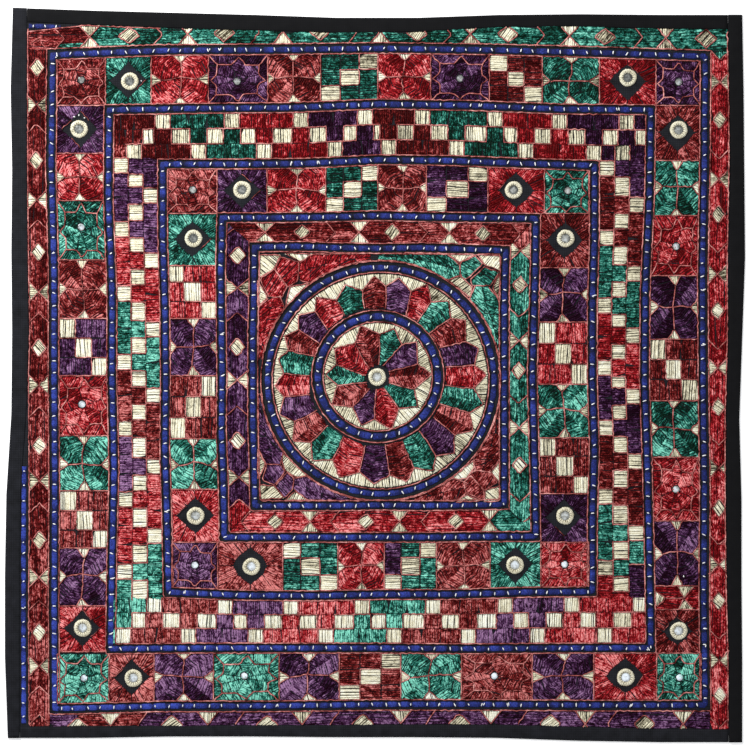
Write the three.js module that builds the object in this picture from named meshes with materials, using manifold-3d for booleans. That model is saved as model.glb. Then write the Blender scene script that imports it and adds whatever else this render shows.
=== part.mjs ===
// Square embroidered tablecloth lying flat: black cotton ground with raised stitched fields, four border
// strips, beaded braids laid as squares and rings, and small mirrors. Millimetres, +Z up, underside at z = 0.
import * as THREE from "three";
import { mergeVertices } from "three/addons/utils/BufferGeometryUtils.js";
import Module from "manifold-3d";

const wasm = await Module();
wasm.setup();

// Heights above the surface that the cloth lies on
const GROUND_TOP = 1.2; // cotton ground with its backing of stitches
const FIELD_TOP = 2.4; // satin stitch stands this high
const BORDER_TOP = 2.4; // folded border strip
const GAP = 0.3; // kept between pieces that touch
const BRAID_THICK = 1.1;
const BRAID_WIDTH = 8.6;
const CHANNEL_WIDTH = 12.8; // bare ground that a braid lies in
const SEAM_LAP = 9; // the panel runs this far under the border strips
const EDGE_MARGIN = 3; // bare ground round a braid that the border leaves bare
const END_START = 420; // the top and bottom strips lie further out than this
const FAR = 700; // well outside the cloth
const CREASE_WIDTH = 26; // where the cloth was stored folded in four
const CREASE_DEPTH = 0.5;
const CREASE_X = 0;
const CREASE_Y = -35;

// Ringed mirrors: thread-covered ring round a glass. Bare mirrors: a glass held by its stitches.
const RING_RADIUS = 13;
const RING_TUBE = 3.4;
const RING_HEIGHT = 2.6;
const RING_FOOT = 0.6; // the ring's underside is this much narrower
const RING_WALL = 0.5; // height of its widest point
const GLASS_RADIUS = 5.8;
const GLASS_HEIGHT = 1.4;
const BARE_RADIUS = 4.6;
const BARE_HEIGHT = 1.2;
const BARE_BEVEL = 0.8; // radius of its flat top, and then height of its rim, as shares of the whole
const BARE_RIM = 0.6;
const PIT_MARGIN = 0.8; // bare ground round each mirror
const DIAMOND_HALF = 24; // black diamond of bare ground round a ringed mirror

// Outer edge of the cloth and inner edge of the border. Each list gives a side's distance from the cloth's
// centre at even steps: top and bottom from left to right, left and right from top to bottom.
const OUTER_EDGE = {
  top: [514, 510, 507, 504, 500, 500, 504, 505, 504, 504],
  bottom: [508, 508, 506, 506, 507, 507, 508, 512, 514, 514],
  left: [507, 510, 508, 509, 508, 509, 516, 518, 518, 514],
  right: [514, 516, 517, 518, 514, 510, 513, 513, 514, 514],
};
const INNER_EDGE = {
  top: [494, 489, 485, 482, 479, 480, 487, 488, 485, 484],
  bottom: [492, 491, 491, 490, 490, 489, 489, 492, 495, 496],
  left: [487, 487, 487, 486, 484, 488, 496, 497, 497, 497],
  right: [494, 496, 497, 497, 494, 491, 491, 492, 495, 495],
};
const CORNER_CUT = 9; // the lower right corner is blunt

// Square braids, from the outermost in: distance of each side from the centre at even steps, as above
const BRAIDS = [
  {
    name: "braid_square_1",
    top: [448, 454, 455, 457, 455, 451, 446],
    bottom: [467, 463, 463, 461, 461, 462, 462],
    left: [451, 453, 449, 449, 448, 449, 448],
    right: [462, 461, 458, 459, 461, 460, 462],
  },
  {
    name: "braid_square_2",
    top: [371, 373, 374, 379, 377, 372, 371],
    bottom: [383, 382, 382, 382, 383, 382, 382],
    left: [372, 373, 368, 368, 365, 368, 370],
    right: [386, 384, 378, 377, 381, 384, 386],
  },
  {
    name: "braid_square_3",
    top: [295, 295, 296, 301, 300, 296, 293],
    bottom: [304, 308, 309, 307, 307, 304, 303],
    left: [297, 297, 294, 293, 294, 291, 289],
    right: [307, 307, 304, 304, 307, 304, 304],
  },
  {
    name: "braid_square_4",
    top: [220, 220, 221, 223, 221, 220, 219],
    bottom: [227, 227, 227, 227, 227, 226, 226],
    left: [214, 216, 215, 214, 215, 212, 211],
    right: [225, 224, 222, 220, 222, 224, 225],
  },
  {
    name: "braid_square_5",
    top: [179, 180, 178, 177, 178, 176, 174],
    bottom: [183, 183, 183, 182, 183, 182, 181],
    left: [169, 169, 171, 171, 171, 169, 168],
    right: [183, 181, 181, 181, 181, 181, 181],
  },
];

// Round braids of the middle medallion
const RINGS = [
  { name: "braid_ring_outer", x: 8, y: -8, radius: 158.5 },
  { name: "braid_ring_inner", x: 4, y: -2, radius: 84 },
];
const CENTRE_MIRROR = { x: 3, y: -3 };

// A further braid shows beside the border only where the border leaves it bare.
// Each row is a point of its centre line with its bare width there.
const EDGE_BRAIDS = [
  {
    name: "braid_edge_left",
    points: [
      { x: -487.5, y: -84, width: 1.4 },
      { x: -490.5, y: -128, width: 5 },
      { x: -491.5, y: -200, width: 7.6 },
      { x: -491.7, y: -330, width: 8.2 },
      { x: -491.4, y: -482, width: 8.2 },
    ],
  },
  {
    name: "braid_edge_top",
    points: [
      { x: -484, y: 488.3, width: 7 },
      { x: -462, y: 487.8, width: 6.6 },
      { x: -440, y: 486.4, width: 4 },
      { x: -426, y: 485.4, width: 1.4 },
    ],
  },
];

// Mirrors of the two patchwork frames. at is the place along the side, across the distance from the centre.
// Sides are as in the tables above.
const RINGED = [
  { name: "mirror_ringed_o1", side: "top", at: -343, across: 411 },
  { name: "mirror_ringed_o2", side: "top", at: 354, across: 416 },
  { name: "mirror_ringed_o3", side: "left", at: 344, across: 414 },
  { name: "mirror_ringed_o4", side: "left", at: -354, across: 409 },
  { name: "mirror_ringed_o5", side: "right", at: 343, across: 425 },
  { name: "mirror_ringed_o6", side: "right", at: -358, across: 425 },
  { name: "mirror_ringed_o7", side: "bottom", at: -338, across: 424 },
  { name: "mirror_ringed_o8", side: "bottom", at: 351, across: 423 },
  { name: "mirror_ringed_i1", side: "top", at: -186, across: 259 },
  { name: "mirror_ringed_i2", side: "top", at: 194, across: 259 },
  { name: "mirror_ringed_i3", side: "left", at: 191, across: 254 },
  { name: "mirror_ringed_i4", side: "left", at: -197, across: 251 },
  { name: "mirror_ringed_i5", side: "right", at: 191, across: 267 },
  { name: "mirror_ringed_i6", side: "right", at: -197, across: 266 },
  { name: "mirror_ringed_i7", side: "bottom", at: -173, across: 268 },
  { name: "mirror_ringed_i8", side: "bottom", at: 196, across: 266 },
];
const BARE = [
  { name: "mirror_bare_o1", side: "top", at: -411, across: 413 },
  { name: "mirror_bare_o2", side: "top", at: -193, across: 411 },
  { name: "mirror_bare_o3", side: "top", at: 119, across: 415 },
  { name: "mirror_bare_o4", side: "top", at: 425, across: 410 },
  { name: "mirror_bare_o5", side: "left", at: 207, across: 411 },
  { name: "mirror_bare_o6", side: "left", at: -41, across: 410 },
  { name: "mirror_bare_o7", side: "bottom", at: -407, across: 424 },
  { name: "mirror_bare_o8", side: "bottom", at: -183, across: 421 },
  { name: "mirror_bare_o9", side: "bottom", at: 167, across: 421 },
  { name: "mirror_bare_o10", side: "bottom", at: 426, across: 423 },
  { name: "mirror_bare_o11", side: "right", at: 180, across: 421 },
  { name: "mirror_bare_o12", side: "right", at: -160, across: 421 },
  { name: "mirror_bare_i1", side: "top", at: -255, across: 259 },
  { name: "mirror_bare_i2", side: "top", at: 270, across: 258 },
  { name: "mirror_bare_i3", side: "bottom", at: -252, across: 266 },
  { name: "mirror_bare_i4", side: "bottom", at: 265, across: 265 },
];

const cotton = new THREE.MeshStandardMaterial({
  color: 0x1c1c1f,
  roughness: 0.92,
  metalness: 0,
});
const stitched = new THREE.MeshStandardMaterial({
  color: 0x6e2430,
  roughness: 0.5,
  metalness: 0,
});
const braidBlue = new THREE.MeshStandardMaterial({
  color: 0x262c82,
  roughness: 0.6,
  metalness: 0,
});
const ringThread = new THREE.MeshStandardMaterial({
  color: 0xe2d9b4,
  roughness: 0.7,
  metalness: 0,
});
const glass = new THREE.MeshStandardMaterial({
  color: 0xb9bcc2,
  roughness: 0.08,
  metalness: 1,
});

// Solids from three.js geometry, and back again after a cut or a join
function toSolid(geometry) {
  const bare = geometry.index ? geometry.toNonIndexed() : geometry.clone();
  bare.deleteAttribute("normal");
  bare.deleteAttribute("uv");
  const merged = mergeVertices(bare, 1e-4);
  return new wasm.Manifold(
    new wasm.Mesh({
      numProp: 3,
      vertProperties: new Float32Array(merged.attributes.position.array),
      triVerts: new Uint32Array(merged.index.array),
    }),
  );
}

function toGeometry(solid) {
  const mesh = solid.getMesh();
  const places = new Float32Array(mesh.numVert * 3);
  for (let i = 0; i < mesh.numVert; i++) {
    places.set(
      mesh.vertProperties.subarray(i * mesh.numProp, i * mesh.numProp + 3),
      i * 3,
    );
  }
  return new THREE.BufferGeometry()
    .setAttribute("position", new THREE.BufferAttribute(places, 3))
    .setIndex(new THREE.BufferAttribute(new Uint32Array(mesh.triVerts), 1));
}

// Flat plate with an outline of [x, y] points and perhaps one hole, from height low to height high
function plate(points, low, high, hole) {
  const outline = points.map(([x, y]) => new THREE.Vector2(x, y));
  if (THREE.ShapeUtils.isClockWise(outline)) {
    outline.reverse();
  }
  const shape = new THREE.Shape(outline);
  if (hole) {
    shape.holes.push(new THREE.Path(hole.map(([x, y]) => new THREE.Vector2(x, y))));
  }
  const geometry = new THREE.ExtrudeGeometry(shape, {
    depth: high - low,
    bevelEnabled: false,
  });
  return geometry.translate(0, 0, low);
}

// The four corner points of an uneven square, clockwise from the top left
function cornersOf(frame, grow) {
  const last = (list) => list[list.length - 1];
  return {
    left: -frame.left[0] - grow,
    right: frame.right[0] + grow,
    lowLeft: -last(frame.left) - grow,
    lowRight: last(frame.right) + grow,
    top: frame.top[0] + grow,
    topRight: last(frame.top) + grow,
    bottom: -frame.bottom[0] - grow,
    bottomRight: -last(frame.bottom) - grow,
  };
}

// Outline of an uneven square grown outwards by grow, clockwise from its top left corner
function squareOutline(frame, grow) {
  const c = cornersOf(frame, grow);
  const points = [];
  const steps = frame.top.length - 1;
  for (let i = 0; i < steps; i++) {
    const s = i / steps;
    points.push([THREE.MathUtils.lerp(c.left, c.right, s), frame.top[i] + grow]);
  }
  for (let i = 0; i < steps; i++) {
    const s = i / steps;
    points.push([
      frame.right[i] + grow,
      THREE.MathUtils.lerp(c.topRight, c.bottomRight, s),
    ]);
  }
  for (let i = steps; i > 0; i--) {
    const s = i / steps;
    points.push([
      THREE.MathUtils.lerp(c.lowLeft, c.lowRight, s),
      -frame.bottom[i] - grow,
    ]);
  }
  for (let i = steps; i > 0; i--) {
    const s = i / steps;
    points.push([-frame.left[i] - grow, THREE.MathUtils.lerp(c.top, c.bottom, s)]);
  }
  return points;
}

function circleOutline(ring, grow, steps = 48) {
  const points = [];
  for (let i = 0; i < steps; i++) {
    const angle = (i / steps) * Math.PI * 2;
    points.push([
      ring.x + (ring.radius + grow) * Math.cos(angle),
      ring.y + (ring.radius + grow) * Math.sin(angle),
    ]);
  }
  return points;
}

// Centre of a mirror from its side, its place along the side and its distance across
function mirrorPlace({ side, at, across }) {
  const places = {
    top: [at, across],
    bottom: [at, -across],
    left: [-across, at],
    right: [across, at],
  };
  return places[side];
}

function disc(x, y, radius, low, high, sides = 12) {
  const cylinder = new THREE.CylinderGeometry(radius, radius, high - low, sides);
  return cylinder.rotateX(Math.PI / 2).translate(x, y, (low + high) / 2);
}

// Raised satin stitch between the braids: square bands, the spandrel field and the two round fields
function stitchedFields() {
  const half = CHANNEL_WIDTH / 2;
  const low = GROUND_TOP / 2;
  const fields = [];
  const outlineOf = [INNER_EDGE, ...BRAIDS];
  for (let i = 0; i < outlineOf.length; i++) {
    const outside = squareOutline(outlineOf[i], i === 0 ? -GAP : -half);
    const inside =
      i + 1 < outlineOf.length
        ? squareOutline(outlineOf[i + 1], half)
        : circleOutline(RINGS[0], half);
    fields.push(toSolid(plate(outside, low, FIELD_TOP, inside)));
  }
  fields.push(
    toSolid(
      plate(
        circleOutline(RINGS[0], -half),
        low,
        FIELD_TOP,
        circleOutline(RINGS[1], half),
      ),
    ),
  );
  fields.push(toSolid(plate(circleOutline(RINGS[1], -half), low, FIELD_TOP)));
  return fields;
}

// What the stitching leaves bare: mirror pits, black diamonds and the strip under each edge braid
function bareGround() {
  const cuts = [];
  const top = FIELD_TOP + 1;
  for (const mirror of RINGED) {
    const [x, y] = mirrorPlace(mirror);
    const diamond = [
      [x - DIAMOND_HALF, y],
      [x, y + DIAMOND_HALF],
      [x + DIAMOND_HALF, y],
      [x, y - DIAMOND_HALF],
    ];
    cuts.push(toSolid(plate(diamond, GROUND_TOP, top)));
  }
  for (const mirror of BARE) {
    const [x, y] = mirrorPlace(mirror);
    cuts.push(toSolid(disc(x, y, BARE_RADIUS + PIT_MARGIN, GROUND_TOP, top)));
  }
  const { x, y } = CENTRE_MIRROR;
  cuts.push(toSolid(disc(x, y, RING_RADIUS + 2 * PIT_MARGIN, GROUND_TOP, top)));
  for (const braid of EDGE_BRAIDS) {
    cuts.push(toSolid(plate(ribbonOutline(braid.points, EDGE_MARGIN), GROUND_TOP, top)));
  }
  return cuts;
}

// Soft trough of triangular section along one axis, left by the fold that the cloth was stored in
function crease(alongX, offset, topHeight) {
  const section = new THREE.Shape([
    new THREE.Vector2(-CREASE_WIDTH / 2, topHeight + 1),
    new THREE.Vector2(-CREASE_WIDTH / 2, topHeight),
    new THREE.Vector2(0, topHeight - CREASE_DEPTH),
    new THREE.Vector2(CREASE_WIDTH / 2, topHeight),
    new THREE.Vector2(CREASE_WIDTH / 2, topHeight + 1),
  ]);
  const trough = new THREE.ExtrudeGeometry(section, {
    depth: 2 * FAR,
    bevelEnabled: false,
  });
  trough.translate(0, 0, -FAR).rotateX(Math.PI / 2);
  if (alongX) {
    trough.rotateZ(Math.PI / 2).translate(0, offset, 0);
  } else {
    trough.translate(offset, 0, 0);
  }
  return toSolid(trough);
}

function withCreases(solid, topHeight) {
  return solid
    .subtract(crease(false, CREASE_X, topHeight))
    .subtract(crease(true, CREASE_Y, topHeight));
}

// Outline of a ribbon of changing width along a short line of points, grown by margin
function ribbonOutline(points, margin = 0) {
  const centre = points.map((p) => new THREE.Vector2(p.x, p.y));
  const near = [];
  const far = [];
  points.forEach((p, i) => {
    const before = centre[Math.max(i - 1, 0)];
    const after = centre[Math.min(i + 1, points.length - 1)];
    const along = after.clone().sub(before).normalize();
    const reach = p.width / 2 + margin;
    const end = i === 0 ? -margin : i === points.length - 1 ? margin : 0;
    const x = p.x + along.x * end;
    const y = p.y + along.y * end;
    near.push([x - along.y * reach, y + along.x * reach]);
    far.unshift([x + along.y * reach, y - along.x * reach]);
  });
  return [...near, ...far];
}

function panel() {
  let solid = toSolid(plate(squareOutline(INNER_EDGE, SEAM_LAP), 0, GROUND_TOP));
  for (const field of stitchedFields()) {
    solid = solid.add(field);
  }
  for (const cut of bareGround()) {
    solid = solid.subtract(cut);
  }
  return toGeometry(withCreases(solid, FIELD_TOP));
}

// The whole border as one plate with the panel's lap cut away under its inner edge
function borderSolid() {
  const outline = squareOutline(OUTER_EDGE, 0);
  const blunt = 2 * (OUTER_EDGE.top.length - 1);
  const [x, y] = outline[blunt];
  outline.splice(blunt, 1, [x, y + 2 * CORNER_CUT], [x - CORNER_CUT, y]);
  const whole = plate(outline, 0, BORDER_TOP, squareOutline(INNER_EDGE, 0));
  const lap = plate(
    squareOutline(INNER_EDGE, SEAM_LAP + GAP),
    -1,
    GROUND_TOP + GAP,
  );
  return withCreases(toSolid(whole).subtract(toSolid(lap)), BORDER_TOP);
}

// All that lies beyond one side's seam, which follows the border's inner edge and runs on past its ends
function beyondSeam(list, direction) {
  const c = cornersOf(INNER_EDGE, 0);
  const [top, bottom] = direction < 0 ? [c.top, c.bottom] : [c.topRight, c.bottomRight];
  const seam = list.map((distance, i) => [
    direction * distance,
    THREE.MathUtils.lerp(top, bottom, i / (list.length - 1)),
  ]);
  const points = [
    [direction * FAR, FAR],
    [seam[0][0], FAR],
    ...seam,
    [seam[seam.length - 1][0], -FAR],
    [direction * FAR, -FAR],
  ];
  return toSolid(plate(points, -FAR, FAR));
}

// All that lies between the two side seams, above the middle of the cloth or below it
function betweenSeams(direction) {
  const end = direction > 0 ? 0 : INNER_EDGE.left.length - 1;
  const left = -INNER_EDGE.left[end] + GAP;
  const right = INNER_EDGE.right[end] - GAP;
  const start = direction * END_START;
  const points = [
    [left, start],
    [right, start],
    [right, direction * FAR],
    [left, direction * FAR],
  ];
  return toSolid(plate(points, -FAR, FAR));
}

// The side strips run the full height, and the top and bottom strips end against them
function borderStrips() {
  const whole = borderSolid();
  return {
    border_left: whole.intersect(beyondSeam(INNER_EDGE.left, -1)),
    border_right: whole.intersect(beyondSeam(INNER_EDGE.right, 1)),
    border_top: whole.intersect(betweenSeams(1)),
    border_bottom: whole.intersect(betweenSeams(-1)),
  };
}

// Thread-covered ring with its glass sunk inside, turned about its own axis
function ringedMirror() {
  const profile = [new THREE.Vector2(0, 0)];
  profile.push(new THREE.Vector2(RING_RADIUS - RING_FOOT, 0));
  const middle = RING_RADIUS - RING_TUBE;
  const steps = 4;
  for (let i = 0; i <= steps; i++) {
    const angle = (i / steps) * Math.PI;
    const rise = RING_WALL + (RING_HEIGHT - RING_WALL) * Math.sin(angle);
    profile.push(new THREE.Vector2(middle + RING_TUBE * Math.cos(angle), rise));
  }
  profile.push(new THREE.Vector2(GLASS_RADIUS, GLASS_HEIGHT));
  profile.push(new THREE.Vector2(0, GLASS_HEIGHT));
  return new THREE.LatheGeometry(profile, 16).rotateX(Math.PI / 2);
}

function bareMirror() {
  const profile = [
    new THREE.Vector2(0, 0),
    new THREE.Vector2(BARE_RADIUS, 0),
    new THREE.Vector2(BARE_RADIUS, BARE_HEIGHT * BARE_RIM),
    new THREE.Vector2(BARE_RADIUS * BARE_BEVEL, BARE_HEIGHT),
    new THREE.Vector2(0, BARE_HEIGHT),
  ];
  return new THREE.LatheGeometry(profile, 12).rotateX(Math.PI / 2);
}

const cloth = new THREE.Group();

function addPiece(name, geometry, material, x = 0, y = 0, z = 0) {
  const mesh = new THREE.Mesh(geometry, material);
  mesh.name = name;
  mesh.position.set(x, y, z);
  cloth.add(mesh);
}

addPiece("panel", panel(), stitched);
for (const [name, solid] of Object.entries(borderStrips())) {
  addPiece(name, toGeometry(solid), cotton);
}

const braidLow = GROUND_TOP + GAP;
const braidHigh = braidLow + BRAID_THICK;
for (const braid of BRAIDS) {
  const outside = squareOutline(braid, BRAID_WIDTH / 2);
  const inside = squareOutline(braid, -BRAID_WIDTH / 2);
  addPiece(braid.name, plate(outside, braidLow, braidHigh, inside), braidBlue);
}
for (const ring of RINGS) {
  const outside = circleOutline(ring, BRAID_WIDTH / 2);
  const inside = circleOutline(ring, -BRAID_WIDTH / 2);
  addPiece(ring.name, plate(outside, braidLow, braidHigh, inside), braidBlue);
}
for (const braid of EDGE_BRAIDS) {
  addPiece(braid.name, plate(ribbonOutline(braid.points), braidLow, braidHigh), braidBlue);
}

for (const mirror of RINGED) {
  const [x, y] = mirrorPlace(mirror);
  addPiece(mirror.name, ringedMirror(), ringThread, x, y, braidLow);
}
for (const mirror of BARE) {
  const [x, y] = mirrorPlace(mirror);
  addPiece(mirror.name, bareMirror(), glass, x, y, braidLow);
}
addPiece(
  "mirror_ringed_centre",
  ringedMirror(),
  ringThread,
  CENTRE_MIRROR.x,
  CENTRE_MIRROR.y,
  braidLow,
);

// The origin is the middle of the underside's bounding box
const box = new THREE.Box3().setFromObject(cloth);
cloth.position.set(-(box.min.x + box.max.x) / 2, -(box.min.y + box.max.y) / 2, 0);

export default cloth;
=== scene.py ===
import bmesh
import bpy
import math
import random
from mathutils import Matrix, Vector, noise


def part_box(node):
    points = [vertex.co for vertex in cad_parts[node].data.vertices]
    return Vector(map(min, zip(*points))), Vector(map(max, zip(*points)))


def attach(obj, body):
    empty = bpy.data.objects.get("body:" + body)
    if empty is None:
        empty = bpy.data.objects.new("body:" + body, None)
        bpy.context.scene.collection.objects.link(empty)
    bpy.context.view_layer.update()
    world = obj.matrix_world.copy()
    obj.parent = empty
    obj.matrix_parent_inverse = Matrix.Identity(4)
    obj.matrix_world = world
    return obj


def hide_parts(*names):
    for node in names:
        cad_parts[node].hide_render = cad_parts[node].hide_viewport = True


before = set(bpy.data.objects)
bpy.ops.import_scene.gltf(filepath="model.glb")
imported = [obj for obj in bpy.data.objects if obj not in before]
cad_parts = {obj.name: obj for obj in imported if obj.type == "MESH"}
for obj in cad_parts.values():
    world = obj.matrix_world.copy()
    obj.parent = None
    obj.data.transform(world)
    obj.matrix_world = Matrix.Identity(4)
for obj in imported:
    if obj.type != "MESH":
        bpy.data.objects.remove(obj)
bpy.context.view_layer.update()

# The tables below are in millimetres from the middle of the cloth, +Y towards the top of the picture.
# Along a side, places run from left to right or from top to bottom.
mm = 0.001


def newObject(name, data):
    made = bpy.data.objects.new(name, data)
    bpy.context.scene.collection.objects.link(made)
    return made


# Camera straight above the cloth, and soft light from the upper left

view = {"lens": 100.0, "sensor": 36.0, "widthSeen": 1.05, "clipEnd": 50}  # widthSeen in metres
room = {"colour": "F4F6FA", "strength": 0.42}
lamps = [
    {"name": "window", "at": (-1.5, 1.7, 1.5), "size": 0.8, "power": 82},
    {"name": "ceiling", "at": (0.1, -0.3, 2.7), "size": 2.2, "power": 20},
]


def addCamera():
    data = bpy.data.cameras.new("camera")
    data.lens = view["lens"]
    data.sensor_width = view["sensor"]
    data.clip_end = view["clipEnd"]
    camera = newObject("camera", data)
    camera.location = (0, 0, view["widthSeen"] * view["lens"] / view["sensor"])
    bpy.context.scene.camera = camera


def addLight():
    for lamp in lamps:
        data = bpy.data.lights.new(lamp["name"], "AREA")
        data.size = lamp["size"]
        data.energy = lamp["power"]
        light = newObject(lamp["name"], data)
        light.location = lamp["at"]
        light.rotation_euler = (-Vector(lamp["at"])).to_track_quat("-Z", "Y").to_euler()
    world = bpy.data.worlds.new("room")
    world.use_nodes = True
    background = world.node_tree.nodes["Background"]
    background.inputs["Color"].default_value = linear(room["colour"])
    background.inputs["Strength"].default_value = room["strength"]
    bpy.context.scene.world = world
    bpy.context.scene.view_settings.view_transform = "Standard"


# Materials

def linear(hexCode):
    channels = [int(hexCode[i : i + 2], 16) / 255 for i in (0, 2, 4)]
    return tuple(c / 12.92 if c <= 0.04045 else ((c + 0.055) / 1.055) ** 2.4 for c in channels) + (1.0,)


# A source is a socket, or a node whose first output is meant
def connect(tree, node, links):
    for key, source in links.items():
        tree.links.new(getattr(source, "outputs", [source])[0], node.inputs[key])


def addNode(tree, kind, settings=None, links=None):
    node = tree.nodes.new("ShaderNode" + kind)
    for key, value in (settings or {}).items():
        if key == "stops":
            elements = node.color_ramp.elements
            while len(elements) < len(value):
                elements.new(0.5)
            for element, (at, hexCode) in zip(elements, value):
                element.position = at
                element.color = linear(hexCode)
        elif isinstance(key, int) or key in node.inputs:
            node.inputs[key].default_value = value
        else:
            setattr(node, key, value)
    connect(tree, node, links or {})
    return node


def newMaterial(name, settings):
    material = bpy.data.materials.new(name)
    material.use_nodes = True
    shader = material.node_tree.nodes["Principled BSDF"]
    for key, value in {"IOR": 1.5, **settings}.items():
        shader.inputs[key].default_value = value
    return material, material.node_tree, shader


# Rayon floss, twisted in the mill and laid as satin stitch: silky and crinkled, with painted shade at the
# needle holes and in the folds, and painted light on the crinkles
def flossMaterial(name, dark, middle, light, contrast, roughness):
    gloss = {"Anisotropic": 0.55, "Specular IOR Level": 0.12, "Specular Tint": linear(light)}
    material, tree, shader = newMaterial("rayonFloss." + name, {"Roughness": roughness, **gloss})
    tone = addNode(tree, "Attribute", {"attribute_name": "tone"}).outputs["Fac"]
    uv = addNode(tree, "UVMap", {"uv_map": "thread"})
    cloth = addNode(tree, "TexCoord").outputs["Object"]
    # the strands waver by 2 mm or so as the gathered cloth does
    waver = addNode(tree, "TexNoise", {"Scale": 120.0, "Detail": 2.0}, {"Vector": cloth}).outputs["Color"]
    bent = addNode(tree, "VectorMath", {"operation": "MULTIPLY_ADD", 1: (9.0, 9.0, 0.0)}, {0: waver, 2: uv})
    # strands 1.5 mm wide and 9 mm long, three times the real floss so that they show
    strand = addNode(tree, "Mapping", {"Scale": (0.11, 0.66, 1.0)}, {"Vector": bent})
    fibre = addNode(tree, "TexNoise", {"Scale": 1.0, "Detail": 3.0, "Roughness": 0.7}, {"Vector": strand})
    # painted light and shade on crinkles from 11 mm down to 1.5 mm, where the threads turn towards the light
    # and away; they also bump the surface
    rumple = {"Scale": 100.0, "Detail": 4.0, "Roughness": 0.75, "Distortion": 1.2}
    crinkle = addNode(tree, "TexNoise", rumple, {"Vector": cloth})
    # painted shade: thin dark lines in sharp folds some 6 mm apart, where the work gathers the cloth
    ridges = {"noise_type": "RIDGED_MULTIFRACTAL", "Scale": 120.0, "Detail": 1.0, "Offset": 1.0, "Gain": 1.0}
    fold = addNode(tree, "TexNoise", {**ridges, "Distortion": 0.6}, {"Vector": cloth})
    foldShade = addNode(tree, "MapRange", {"From Min": 1.0, "From Max": 1.45, "To Max": -0.22}, {"Value": fold})
    sheen = addNode(tree, "Math", {"operation": "ADD"}, {0: fibre, 1: crinkle})
    both = addNode(tree, "Math", {"operation": "ADD"}, {0: sheen, 1: foldShade})
    lift = addNode(tree, "Math", {"operation": "MULTIPLY_ADD", 1: contrast, 2: -contrast}, {0: both})
    mixed = addNode(tree, "Math", {"operation": "ADD"}, {0: tone, 1: lift})
    colour = addNode(tree, "ValToRGB", {"stops": [(0.0, dark), (0.5, middle), (1.0, light)]}, {"Fac": mixed})
    bump = addNode(tree, "Bump", {"Strength": 1.0, "Distance": 0.0012}, {"Height": both})
    tangent = addNode(tree, "Tangent", {"direction_type": "UV_MAP", "uv_map": "thread"})
    connect(tree, shader, {"Base Color": colour, "Normal": bump, "Tangent": tangent})
    return material


# Plain-woven black cotton, washed: matt, slightly blue, paler along worn threads
def cottonMaterial(name, dark, light):
    finish = {"Roughness": 0.88, "Specular IOR Level": 0.2}
    material, tree, shader = newMaterial("plainWovenCotton." + name, finish)
    cloth = addNode(tree, "TexCoord").outputs["Object"]
    threadMm = 1.6  # between threads, coarser than the real weave so that it shows
    waves = []
    for direction in "XY":
        bands = {"bands_direction": direction, "Scale": 1000 / threadMm / (2 * math.pi), "Distortion": 0.6}
        waves.append(addNode(tree, "TexWave", bands, {"Vector": cloth}).outputs["Fac"])
    weave = addNode(tree, "Math", {"operation": "MULTIPLY"}, {0: waves[0], 1: waves[1]})
    # lint and wear in patches about 15 mm across
    wear = addNode(tree, "TexNoise", {"Scale": 65.0, "Detail": 6.0, "Roughness": 0.7}, {"Vector": cloth})
    both = addNode(tree, "Math", {"operation": "MULTIPLY_ADD", 1: 0.3}, {0: weave, 2: wear})
    colour = addNode(tree, "ValToRGB", {"stops": [(0.3, dark), (0.95, light)]}, {"Fac": both})
    bump = addNode(tree, "Bump", {"Strength": 0.4, "Distance": 0.0003}, {"Height": both})
    connect(tree, shader, {"Base Color": colour, "Normal": bump})
    return material


# Braided blue rayon tape: deep blue, ribbed across, with painted shade where a bead's stitch pulls it in and
# along its edges
def tapeMaterial():
    material, tree, shader = newMaterial("braidedRayonTape", {"Roughness": 0.7, "Specular IOR Level": 0.2})
    tone = addNode(tree, "Attribute", {"attribute_name": "tone"}).outputs["Fac"]
    uv = addNode(tree, "UVMap", {"uv_map": "thread"})
    # slanting plaits 2 mm wide, coarser than the real ones so that they show
    plait = addNode(tree, "Mapping", {"Scale": (0.5, 0.35, 1.0)}, {"Vector": uv})
    ribs = {"Scale": 1.0, "Detail": 3.0, "Roughness": 0.7, "Distortion": 0.8}
    rib = addNode(tree, "TexNoise", ribs, {"Vector": plait})
    lift = addNode(tree, "Math", {"operation": "MULTIPLY_ADD", 1: 1.6, 2: -0.8}, {0: rib})
    mixed = addNode(tree, "Math", {"operation": "ADD"}, {0: tone, 1: lift})
    stops = [(0.0, "03050F"), (0.5, "17205E"), (1.0, "384BAE")]
    colour = addNode(tree, "ValToRGB", {"stops": stops}, {"Fac": mixed})
    bump = addNode(tree, "Bump", {"Strength": 0.6, "Distance": 0.0006}, {"Height": rib})
    connect(tree, shader, {"Base Color": colour, "Normal": bump})
    return material


# Pressed seed beads of opaque white glass: small sharp highlights
def beadMaterial():
    material, tree, shader = newMaterial("pressedWhiteGlass", {"Roughness": 0.2})
    tone = addNode(tree, "Attribute", {"attribute_name": "tone"}).outputs["Fac"]
    colour = addNode(tree, "ValToRGB", {"stops": [(0.0, "A8ACBA"), (1.0, "FCFCF8")]}, {"Fac": tone})
    connect(tree, shader, {"Base Color": colour})
    return material


# Thin mirror glass, blown and silvered behind: grey, cloudy, spotted where the silver has gone
def mirrorMaterial():
    material, tree, shader = newMaterial("silveredGlass", {"Metallic": 0.6})
    cloth = addNode(tree, "TexCoord").outputs["Object"]
    # clouding in spots about 3 mm across
    cloud = addNode(tree, "TexNoise", {"Scale": 300.0, "Detail": 4.0}, {"Vector": cloth})
    tone = addNode(tree, "Attribute", {"attribute_name": "tone"}).outputs["Fac"]
    mixed = addNode(tree, "Math", {"operation": "ADD"}, {0: tone, 1: cloud})
    stops = [(0.3, "565855"), (0.6, "9C9E99"), (1.0, "DCE6F0")]
    colour = addNode(tree, "ValToRGB", {"stops": stops}, {"Fac": mixed})
    rough = addNode(tree, "MapRange", {"To Min": 0.12, "To Max": 0.45}, {"Value": cloud})
    connect(tree, shader, {"Base Color": colour, "Roughness": rough})
    return material


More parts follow.
